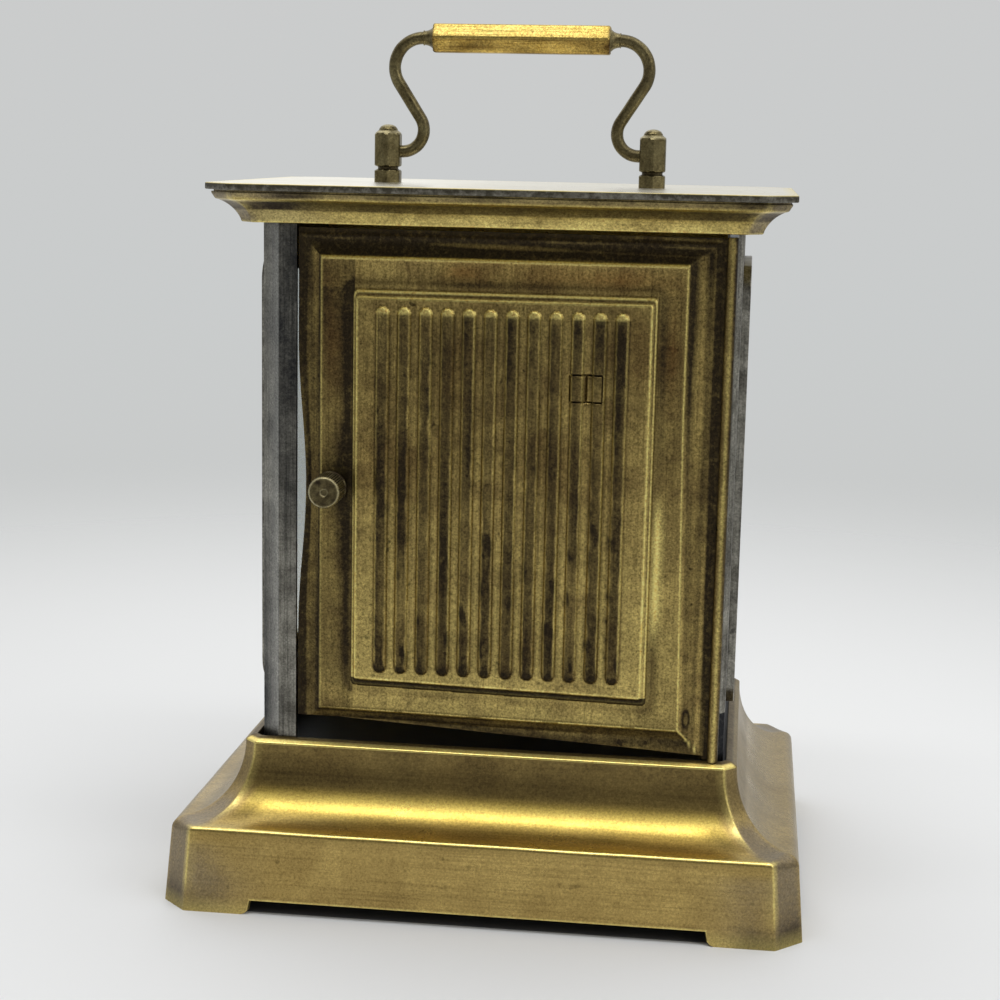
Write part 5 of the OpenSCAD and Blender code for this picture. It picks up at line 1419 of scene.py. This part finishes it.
@dataclass
class Knob:
    """Knurled door knob with a flange, a groove and a dimple in its face."""

    finishes: Finishes
    x: float = 36.0
    z: float = 95.2
    y: float = 38.85
    radius: float = 3.65
    length: float = 8.0
    knurls: int = 44
    knurl_depth: float = 0.045

    def build(self) -> None:
        """Builds the knob as a turned shape whose drum carries fine straight knurls."""
        r, end = self.radius, self.length
        corners = [(0, -6.4), (1.5, -6.4), (1.5, 0), (r - 0.25, 0), (r, 0.35), (r, 0.95), (r - 0.45, 1.2),
                   (r - 0.45, 1.7), (r - 0.05, 2.0), (r - 0.05, end - 0.55), (r - 0.5, end),
                   (r - 0.9, end - 0.06), (1.1, end - 0.14), (0.75, end - 0.5), (0, end - 0.6)]
        soft = [0, 0.1, 0, 0.1, 0.12, 0.1, 0.08, 0.08, 0.12, 0.2, 0.15, 0.1, 0.15, 0.2, 0]
        profile = rounded_profile(corners, soft, 4)
        points = lathe(profile, "Y", (self.x, self.y, self.z), self.knurls * 4)
        angle = np.arange(self.knurls * 4) * 2 * np.pi / (self.knurls * 4)
        drum = smooth_step(1.9, 2.3, profile[:, 1]) * (1 - smooth_step(end - 0.7, end - 0.4, profile[:, 1]))
        drum *= profile[:, 0] > r - 0.3
        cut = 1 - self.knurl_depth * drum[:, None] * (np.cos(self.knurls * angle) < 0)
        points[..., 0] = self.x + (points[..., 0] - self.x) * cut
        points[..., 2] = self.z + (points[..., 2] - self.z) * cut
        wide, high = (profile[:, k, None] * np.ones_like(points[..., 0]) for k in (0, 1))
        patch = wave_noise(points[..., 0] * 2, points[..., 2] * 2, 5, 70)
        tarnish = 0.5 + 0.25 * patch + 0.4 * drum[:, None] * (cut < 1) + 0.4 * (high < 1.9)
        corner = peak(wide, r - 0.35, 0.2) * (high > end - 0.6)
        dimple = peak(wide, 0.8, 0.15) * (high > end - 1)
        rubbed = 0.75 * corner + 0.4 * drum[:, None] * (cut == 1) + 0.35 * dimple
        piece = grid_piece("knurled_knob", points, self.finishes.handled_brass, sharp=30,
                           shades=clipped(tarnish=tarnish, rubbed=rubbed))
        use(piece, "knob", "dark_brass", "door_knob")
        ferrule = rounded_profile([(1.56, 0.02), (2.7, 0.02), (2.55, 0.7), (1.56, 0.7)], [0, 0.1, 0.2, 0], 4)
        ring = lathe(np.concatenate([ferrule, ferrule[:1]]), "Y", (self.x, self.y - 0.75, self.z), 64)
        collar = grid_piece("knob_collar", ring, self.finishes.handled_brass, sharp=40)
        use(collar, "door", "dark_brass", "knob_ferrule")
        tongue = softened_copy("latch_tongue", self.finishes.steel, 0.2)
        use(tongue, "knob", "steel", "latch_tongue")


@dataclass
class Handle:
    """Swinging handle: a bent rod with a curl at each post, tapered collars and a six sided grip."""

    finishes: Finishes
    pivot_z: float = 168.8
    curl: tuple[float, float] = (27.6, 173.8)
    curl_r: float = 5.0
    loop: tuple[float, float] = (22.9, 188.1)
    loop_r: float = 6.7
    bend_r: float = 1.42
    post_x: float = 31.0
    post_flats: float = 6.0
    lid_z: float = 161.6
    grip_half: float = 20.5
    grip_flats: float = 6.5
    reach: float = 4.4

    @property
    def grip_z(self) -> float:
        """Height of the grip's middle line."""
        return self.loop[1] + self.loop_r

    def half_path(self) -> np.ndarray:
        """Middle line of the +X half, from inside the post to the middle of the grip.

        It is a straight, an arc round the curl's centre, the straight that touches both arcs, an arc round
        the loop's centre and a straight along the grip.

        Returns:
            Array of points x 3.
        """
        c1, c2 = np.array(self.curl), np.array(self.loop)
        gap = c2 - c1
        span = np.hypot(*gap)
        turn = math.atan2(gap[1], gap[0]) - math.asin((self.curl_r + self.loop_r) / span)
        first = np.linspace(math.radians(270), turn + math.pi / 2, 30)
        second = np.linspace(turn - math.pi / 2, math.pi / 2, 42)
        start = self.post_x - self.post_flats / 2 + self.reach
        lead = np.stack([np.linspace(start, c1[0], 8)[:-1], np.full(7, self.pivot_z)], axis=1)
        lower = c1 + self.curl_r * np.stack([np.cos(first), np.sin(first)], axis=1)
        upper = c2 + self.loop_r * np.stack([np.cos(second), np.sin(second)], axis=1)
        joint = lower[-1] + (upper[0] - lower[-1]) * np.linspace(0, 1, 14)[1:-1, None]
        tail = np.stack([np.linspace(c2[0], 0, 12)[1:], np.full(11, self.grip_z)], axis=1)
        flat = np.concatenate([lead, lower, joint, upper, tail])
        return np.stack([flat[:, 0], np.zeros(len(flat)), flat[:, 1]], axis=1)

    def build(self) -> None:
        """Builds the rod, the grip, the collars and the two posts."""
        half = self.half_path()
        path = np.concatenate([half, half[-2::-1] * np.array([-1, 1, 1])])
        share = np.linspace(0, 60, len(path))
        radius = self.bend_r + 0.015 * np.sin(share) + 0.01 * np.sin(2.7 * share)
        points = tube(path, radius)
        worn = 0.25 + 0.25 * wave_noise(points[..., 0], points[..., 2], 9, 2)
        rod = grid_piece("bent_handle_rod", points, self.finishes.handled_brass, sharp=50,
                         shades=clipped(tarnish=worn))
        use(rod, "handle", "dark_brass", "handle_rod")
        self.grip()
        for side in (-1, 1):
            self.collar(side)
            self.post(side)

    def hexagon(self, angle: np.ndarray, flats: float, soft: float) -> np.ndarray:
        """Radius of a hexagon with softened corners at each angle, with its flats facing +-90 degrees.

        The radius is half the width across flats over the cosine of the angle to the nearest flat's
        middle, capped by a circle near the corners.
        """
        off = np.mod(angle - math.pi / 2 + math.pi / 6, math.pi / 3) - math.pi / 6
        return np.minimum(flats / 2 / np.cos(off), flats / 2 / math.cos(math.pi / 6) - soft)

    def grip(self) -> None:
        """Grip with six flats, its ends rounded over, darker and warmer on its lower flats, and darker at its
        ends.
        """
        h = self.grip_half
        along = np.concatenate([[-h, -h, -h + 0.12, -h + 0.35], np.linspace(-h + 0.8, h - 0.8, 40),
                                [h - 0.35, h - 0.12, h, h]])
        inset = np.concatenate([[1.3, 0.4, 0.14, 0.0], np.zeros(40), [0.0, 0.14, 0.4, 1.3]])
        angle = np.linspace(0, 2 * np.pi, 121)[:-1]
        radius = self.hexagon(angle, self.grip_flats, 0.14)[None, :] - inset[:, None]
        x = np.broadcast_to(along[:, None], radius.shape)
        points = np.stack([x, radius * np.cos(angle), self.grip_z + radius * np.sin(angle)], axis=-1)
        middle = [np.stack([x[k], 0 * angle, 0 * angle + self.grip_z], axis=-1)[None] for k in (0, -1)]
        points = np.concatenate([middle[0], points, middle[1]])
        # The lower flats are made darker and warmer
        under = smooth_step(0.15, -0.15, points[..., 2] - self.grip_z)
        ends = smooth_step(h - 1.6, h, np.abs(points[..., 0]))
        grime = wave_noise(points[..., 0] * 0.4, points[..., 1] + points[..., 2], 5, 6)
        stain = under * (0.38 + 0.3 * grime) + 0.4 * ends
        piece = grid_piece("six_sided_grip", points, self.finishes.gilt, sharp=25,
                           shades=clipped(tarnish=stain, blush=0.3 * under))
        use(piece, "handle", "gilt", "handle_grip")

    def collar(self, side: int) -> None:
        """Collar that falls in a hollow curve from the grip to the rod, with a fine ring at its end.

        Args:
            side: 1 on the +X side, -1 on the other.
        """
        corners = [(1.3, 0), (2.55, 0), (2.5, 0.14), (1.95, 0.75), (1.68, 1.5), (1.6, 2.1), (1.72, 2.2),
                   (1.72, 2.36), (1.5, 2.42), (1.3, 2.42)]
        profile = rounded_profile(corners, [0, 0.05, 0.06, 0.3, 0.3, 0.04, 0.05, 0.05, 0.03, 0], 4)
        profile = profile * np.array([1, side]) + np.array([0, side * self.grip_half])
        points = lathe(profile, "X", (0, 0, self.grip_z), 48)
        piece = grid_piece(f"grip_collar_{SIDE_NAMES[side]}", points, self.finishes.handled_brass,
                           wrap_rows=True, sharp=40)
        use(piece, "handle", "dark_brass", "grip_collars")

    def post(self, side: int) -> None:
        """Hexagonal post: a foot on the lid, a dark waist, a body with turned off corners, a domed cap.

        Args:
            side: 1 on the +X side, -1 on the other.
        """
        z = self.lid_z
        corners = [(3.6, 0), (3.6, 2.6), (2.85, 2.9), (2.4, 3.05), (2.4, 3.55), (2.85, 3.7), (3.6, 4.0),
                   (3.6, 10.9), (2.9, 11.5), (2.2, 12.05), (2.2, 12.3), (1.7, 12.95), (0.9, 13.3), (0, 13.4)]
        soft = [0, 0.15, 0.1, 0.1, 0.1, 0.1, 0.15, 0.2, 0.15, 0.04, 0.1, 0.2, 0.2, 0]
        rows = rounded_profile(corners, soft, 4) + np.array([0, z])
        angle = np.linspace(0, 2 * np.pi, 97)[:-1]
        hexed = self.hexagon(angle + math.pi / 2, self.post_flats, 0.16)
        radius = np.minimum(rows[:, :1], hexed[None, :])
        points = np.stack([side * self.post_x + radius * np.cos(angle), radius * np.sin(angle),
                           np.broadcast_to(rows[:, 1:], radius.shape)], axis=-1)
        foot = points[:1] * np.array([0, 0, 1]) + np.array([side * self.post_x, 0, 0])
        points = np.concatenate([foot, points])
        up = points[..., 2] - z
        worn = 0.1 + 0.15 * wave_noise(points[..., 1] * 2, points[..., 2], 6, 8 + side)
        worn += 0.9 * peak(up, 3.3, 0.3)
        rubbed = 0.5 * peak(up, 11.6, 0.3) + 0.35 * (up > 12.8)
        name = SIDE_NAMES[side]
        piece = grid_piece(f"hexagonal_post_{name}", points, self.finishes.handled_brass, sharp=24,
                           shades=clipped(tarnish=worn, rubbed=rubbed))
        use(piece, "clock_case", "dark_brass", f"handle_post_{name}")


@dataclass
class CaseSides:
    """Nickel pillars, window frames, glass and the dark floor of the case."""

    finishes: Finishes

    @staticmethod
    def knob_side(places: np.ndarray) -> Shades:
        """Wear of the pillar beside the knob: its rear face is dark above, and its front edge is bright.

        Args:
            places: Points in millimetres.

        Returns:
            Values per point for the finish.
        """
        x, y, z = places.T
        rear = smooth_step(49.2, 48.4, x)
        streak = wave_noise(x * 3 + y * 3, z * 0.25, 7, 19)
        high = smooth_step(62, 112, z)
        tarnish = rear * (0.76 * high + 0.25 * streak + 0.02)
        tarnish += (1 - rear) * (0.5 - 0.25 * high + 0.4 * streak)
        return clipped(tarnish=tarnish, rubbed=0.5 * peak(x, 48.9, 0.3))

    @staticmethod
    def hinge_side(places: np.ndarray) -> Shades:
        """Wear of the pillar beside the hinge: black below the point where its plating ends."""
        z = places[:, 2]
        return {"tarnish": np.where(z < 46.3, 1.0, 0.0)}

    def build(self) -> None:
        """Softens the edges of the sheet pieces and dresses the glass."""
        for node, wear, cuts in (("pillar_front_left", None, ()), ("pillar_front_right", None, ()),
                                 ("pillar_rear_left", self.hinge_side, (46.2, 46.4)),
                                 ("pillar_rear_right", self.knob_side, tuple(range(38, 152, 3))),
                                 ("side_frame_left", None, ()), ("side_frame_right", None, ())):
            piece = softened_copy(node, self.finishes.nickel, 0.22, flat=14, cuts=cuts, wear=wear)
            use(piece, "clock_case", "nickel", node)
        frame_piece = softened_copy("front_frame", self.finishes.front_brass, 0.22, flat=14)
        use(frame_piece, "clock_case", "gilt", "front_frame")
        # The floor's black also paints the shade in the gap under the door
        floor = softened_copy("case_floor", self.finishes.floor_paint, 0.1)
        use(floor, "clock_case", "case_floor", "case_floor")
        for node in ("side_glass_left", "side_glass_right", "front_glass"):
            piece = softened_copy(node, self.finishes.glass, 0.25)
            use(piece, "clock_case", "glass", node)


@dataclass
class DialFront:
    """Gilt mask, enamel dial with painted numbers and minute marks, bezel and blued hands."""

    finishes: Finishes
    centre_z: float = 100.0
    face_y: float = -26.6
    paint: tuple[float, float] = (0.02, -0.05)
    hour_track: tuple[float, float] = (26.6, 26.85)
    minute_track: tuple[float, float] = (29.2, 29.45)
    mark_span: tuple[float, float] = (26.9, 29.2)
    mark_w: float = 0.22
    five_mark_w: float = 0.55
    number_r: float = 22.6
    number_size: float = 6.2

    def build(self) -> None:
        """Builds the marks and numbers on the dial and softens the metal round it."""
        for node, finish, slot, width in (("dial_mask", self.finishes.front_brass, "gilt", 0.1),
                                          ("dial", self.finishes.enamel, "dial_face", 0.2),
                                          ("dial_bezel", self.finishes.front_brass, "gilt", 0.0)):
            if width:
                use(softened_copy(node, finish, width), "clock_case", slot, node)
            else:
                dress(node, finish)
        for hand in ("minute", "hour", "alarm"):
            piece = softened_copy(f"{hand}_hand", self.finishes.blued, 0.08)
            use(piece, f"{hand}_body", "hand_paint", f"{hand}_hand")
        self.marks()
        self.numbers()

    def marks(self) -> None:
        """Sixty minute marks between two rings: thin blocks of paint that point at the dial's centre."""
        self.ring("minute_track", *self.minute_track)
        self.ring("hour_track", *self.hour_track)
        minute = np.arange(60)
        turn = np.radians(6 * minute)
        out = np.stack([-np.sin(turn), 0 * turn, np.cos(turn)], axis=-1)[:, None, None]
        across = np.stack([np.cos(turn), 0 * turn, np.sin(turn)], axis=-1)[:, None, None]
        width = np.where(minute % 5 == 0, self.five_mark_w, self.mark_w)[:, None, None, None]
        reach = np.repeat(self.mark_span, 2)[:, None]
        side = np.array([-1, 1, 1, -1])[:, None] / 2
        depth = np.array(self.paint)[:, None, None] * np.array([0, 1, 0])
        middle = np.array([0, self.face_y, self.centre_z])
        corners = (middle + out * reach + across * side * width + depth) * MM
        block = np.array([(0, 1, 2, 3), (7, 6, 5, 4), (0, 4, 5, 1), (1, 5, 6, 2), (2, 6, 7, 3), (3, 7, 4, 0)])
        faces = 8 * minute[:, None, None] + block
        mesh = bpy.data.meshes.new("minute_marks")
        mesh.from_pydata(corners.reshape(-1, 3).tolist(), [], faces.reshape(-1, 4).tolist())
        close_and_orient(mesh, 1e-7)
        piece = make_object("minute_marks", mesh, self.finishes.numeral_paint, 30)
        use(piece, "clock_case", "hand_paint")

    def ring(self, name: str, inner: float, outer: float) -> None:
        """Thin painted ring on the dial.

        Args:
            name: Name of the piece.
            inner: Inner radius.
            outer: Outer radius.
        """
        under, over = self.paint
        profile = np.array([[inner, under], [outer, under], [outer, over], [inner, over]])
        points = lathe(profile, "Y", (0, self.face_y, self.centre_z), 120)
        piece = grid_piece(name, points, self.finishes.numeral_paint, wrap_rows=True, sharp=30)
        use(piece, "clock_case", "hand_paint")

    def numbers(self) -> None:
        """Plain numbers from 1 to 12, upright, with their middles on one circle."""
        upright = Matrix.Rotation(math.radians(90), 4, "X")
        for number in range(1, 13):
            turn = math.radians(30 * number)
            x, z = self.number_r * math.sin(turn), self.number_r * math.cos(turn)
            curve = bpy.data.curves.new(f"number_{number}", "FONT")
            curve.body = str(number)
            curve.size, curve.extrude = self.number_size * MM, 0.03 * MM
            curve.align_x, curve.align_y = "CENTER", "CENTER"
            holder = bpy.data.objects.new(f"number_{number}_text", curve)
            bpy.context.scene.collection.objects.link(holder)
            bpy.context.view_layer.update()
            solid = holder.evaluated_get(bpy.context.evaluated_depsgraph_get())
            mesh = bpy.data.meshes.new_from_object(solid)
            bpy.data.objects.remove(holder)
            place = Matrix.Translation(Vector((x, self.face_y - 0.02, self.centre_z + z)) * MM)
            mesh.transform(place @ upright)
            mesh.name = f"number_{number}"
            piece = make_object(f"dial_number_{number}", mesh, self.finishes.numeral_paint, 30)
            use(piece, "clock_case", "hand_paint")


def dress(node: str, finish: bpy.types.Material) -> None:
    """Gives a CAD node that stays a finish in place of its plain one.

    Args:
        node: Name of the node.
        finish: Its new material.
    """
    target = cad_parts[node]
    target.data.materials.clear()
    target.data.materials.append(finish)
    log.info("%s keeps its shape", node)


@dataclass
class Works:
    """Everything inside the case and the base, kept as it is and given its metal."""

    finishes: Finishes

    def build(self) -> None:
        """Gives each inner node its finish."""
        brass = ("minute_wheel", "hour_wheel", "centre_wheel", "third_wheel", "fourth_wheel", "escape_wheel",
                 "governor_wheel", "music_winding_key", "plate_pillars")
        steel = ("post_nuts", "hinge_pins", "minute_arbor", "alarm_arbor", "pillar_nuts", "barrel_arbor",
                 "pallet_lever", "hairspring", "music_comb", "governor_fan", "release_lever")
        gilt = ("going_barrel", "balance_wheel", "music_cylinder", "music_barrel")
        for nodes, finish in ((brass, self.finishes.movement_brass), (steel, self.finishes.steel),
                              (gilt, self.finishes.gilt)):
            for node in nodes:
                dress(node, finish)
        for node, body in (("front_movement_plate", "clock_case"), ("rear_movement_plate", "clock_case"),
                           ("music_bedplate", "clock_case"), ("hand_set_knob", "minute_body"),
                           ("alarm_set_knob", "alarm_body"), ("time_winding_key", "winding_body")):
            use(softened_copy(node, self.finishes.movement_brass, 0.25), body, "movement_brass", node)
        # The bottom plate's near black also paints the shade in the gaps under the base's arches
        use(softened_copy("base_bottom_plate", self.finishes.black_iron, 0.2), "clock_case", "steel",
            "base_bottom_plate")


@dataclass
class Studio:
    """Pale floor and backdrop, soft lamps, and the camera of the reference view."""

    eye: tuple[float, float, float] = (-54.19, 462.18, 171.21)
    yaw: float = 7.04
    pitch: float = -10.28
    roll: float = 1.18
    focal_px: float = 1968.5
    image_px: float = 1000.0
    sensor: float = 36.0
    behind: tuple[tuple[float, str], ...] = (
        (0.0, "9D9C99"), (0.36, "A7A8A7"), (0.46, "A8AAAA"), (0.54, "A9AAAA"), (0.58, "BEBFBF"),
        (0.72, "B4B4B2"), (1.0, "FFFFFF"))
    near: tuple[tuple[float, str], ...] = (
        (0.0, "9D9C99"), (0.36, "A7A8A7"), (0.48, "A9ABAB"), (0.54, "9A9A99"), (0.6, "6C6B68"),
        (0.74, "504E4A"), (0.86, "7A7A78"), (1.0, "FFFFFF"))
    sky_strength: float = 1.5
    paper: str = "E3E4E5"
    # A darker box painted on the floor under the clock: painted shade that keeps the gap under the base's
    # arches dark
    pad_colour: str = "6E6E70"
    pad: tuple[float, float] = (67.0, 53.0)
    floor_half: float = 1.2
    floor_fade: tuple[float, float] = (0.12, 0.62)

    def camera(self) -> None:
        """Places the camera: its axes come from the yaw, pitch and roll measured on the picture."""
        yaw, pitch, roll = (math.radians(a) for a in (self.yaw, self.pitch, self.roll))
        ahead = Vector((math.sin(yaw) * math.cos(pitch), -math.cos(yaw) * math.cos(pitch), math.sin(pitch)))
        right = ahead.cross(Vector((0, 0, 1))).normalized()
        up = right.cross(ahead)
        turned_right = right * math.cos(roll) + up * math.sin(roll)
        turned_up = up * math.cos(roll) - right * math.sin(roll)
        data = bpy.data.cameras.new("reference_camera")
        data.sensor_width = self.sensor
        data.lens = self.focal_px / self.image_px * self.sensor
        data.clip_start, data.clip_end = 0.01, 50
        holder = bpy.data.objects.new("reference_camera", data)
        axes = Matrix((turned_right, turned_up, -ahead)).transposed().to_4x4()
        holder.matrix_world = Matrix.Translation(Vector(self.eye) * MM) @ axes
        bpy.context.scene.collection.objects.link(holder)
        bpy.context.scene.camera = holder

    def floor(self) -> None:
        """Pale paper that fades into the backdrop far away, with painted shade, a dark grey box, under the
        clock between its feet.
        """
        mesh = bpy.data.meshes.new("studio_floor")
        s = self.floor_half
        mesh.from_pydata([(-s, -s, 0), (s, -s, 0), (s, s, 0), (-s, s, 0)], [], [(0, 1, 2, 3)])
        # Matt paper that takes soft shadows; a dark box painted under the clock as painted shade keeps the
        # gap under the base's arch dark
        material, tree, place = blank_material("studio_paper")
        reach = add(tree, "ShaderNodeVectorMath", {0: place}, operation="LENGTH")
        start, stop = self.floor_fade
        fade = add(tree, RANGE, {0: reach.outputs["Value"], 1: start, 2: stop},
                   interpolation_type="SMOOTHSTEP")
        parts = add(tree, "ShaderNodeSeparateXYZ", {0: place})
        bare = 0.0
        for axis, half in enumerate(self.pad):
            off = add(tree, MATH, {0: parts.outputs[axis]}, operation="ABSOLUTE")
            past = add(tree, MATH, {0: off.outputs[0], 1: half * MM}, operation="GREATER_THAN")
            bare = add(tree, MATH, {0: past.outputs[0], 1: bare}, operation="MAXIMUM").outputs[0]
        colour = add(tree, MIX, {0: bare, 6: hex_colour(self.pad_colour), 7: hex_colour(self.paper)},
                     data_type="RGBA")
        paper = add(tree, PRINCIPLED, {"Base Color": colour.outputs[2], "Roughness": 0.7})
        clear = add(tree, "ShaderNodeBsdfTransparent")
        shader = add(tree, "ShaderNodeMixShader",
                     {0: fade.outputs[0], 1: paper.outputs[0], 2: clear.outputs[0]})
        add(tree, "ShaderNodeOutputMaterial", {"Surface": shader.outputs[0]})
        mesh.materials.append(material)
        holder = bpy.data.objects.new("studio_floor", mesh)
        bpy.context.scene.collection.objects.link(holder)

    def world(self) -> None:
        """Sky by height: pale low down, bright overhead, and a darker room in front of the rear door."""
        sky = bpy.data.worlds.new("studio_sky")
        bpy.context.scene.world = sky
        sky.use_nodes = True
        tree = sky.node_tree
        tree.nodes.clear()
        place = add(tree, "ShaderNodeTexCoord")
        parts = add(tree, "ShaderNodeSeparateXYZ", {0: place.outputs["Generated"]})
        share = add(tree, MATH, {0: parts.outputs[2], 1: 0.5, 2: 0.5}, operation="MULTIPLY_ADD")
        ramps = []
        for colours in (self.behind, self.near):
            ramp = add(tree, "ShaderNodeValToRGB", {0: share.outputs[0]})
            stops = ramp.color_ramp.elements
            for at, code in colours:
                stop = stops.new(at) if 0 < at < 1 else stops[int(at > 0) * (len(stops) - 1)]
                stop.color = hex_colour(code)
            ramps.append(ramp.outputs[0])
        facing = add(tree, RANGE, {0: parts.outputs[1], 1: -0.25, 2: 0.35}, interpolation_type="SMOOTHSTEP")
        both = add(tree, MIX, {0: facing.outputs[0], 6: ramps[0], 7: ramps[1]}, data_type="RGBA")
        light = add(tree, "ShaderNodeBackground", {"Color": both.outputs[2], "Strength": self.sky_strength})
        add(tree, "ShaderNodeOutputWorld", {"Surface": light.outputs[0]})

    def lamp(self, name: str, at: tuple[float, float, float], aim: tuple[float, float, float],
             size: tuple[float, float], power: float) -> None:
        """One soft rectangular lamp that looks at a point.

        Args:
            name: Name of the lamp.
            at: Its place in metres.
            aim: Point that it looks at, in metres.
            size: Its width and height in metres.
            power: Its power in watts.
        """
        data = bpy.data.lights.new(name, "AREA")
        data.shape, data.energy = "RECTANGLE", power
        data.size, data.size_y = size
        holder = bpy.data.objects.new(name, data)
        holder.location = at
        holder.rotation_euler = (Vector(aim) - Vector(at)).to_track_quat("-Z", "Y").to_euler()
        bpy.context.scene.collection.objects.link(holder)

    def build(self) -> None:
        """Sets the stage."""
        self.camera()
        self.floor()
        self.world()
        self.lamp("overhead_lamp", (0.0, 0.3, 1.15), (0, 0.02, 0.03), (1.1, 0.17), 3.2)
        self.lamp("side_lamp", (-1.0, 0.55, 0.75), (0, 0, 0.1), (0.8, 0.8), 3.0)
        self.lamp("far_lamp", (0.7, -1.1, 0.9), (0, 0, 0.1), (1.4, 1.4), 2.0)
        bpy.context.scene.view_settings.view_transform = "Standard"


def main() -> None:
    """Builds the studio and every sub-assembly."""
    logging.basicConfig(level=logging.INFO, format="%(name)s: %(message)s")
    finishes = Finishes()
    Studio().build()
    for part in (Base(finishes), Cornice(finishes), RearDoor(finishes), Knob(finishes), Handle(finishes),
                 CaseSides(finishes), DialFront(finishes), Works(finishes)):
        part.build()
        log.info("%s built", type(part).__name__)


if __name__ == "__main__":
    main()
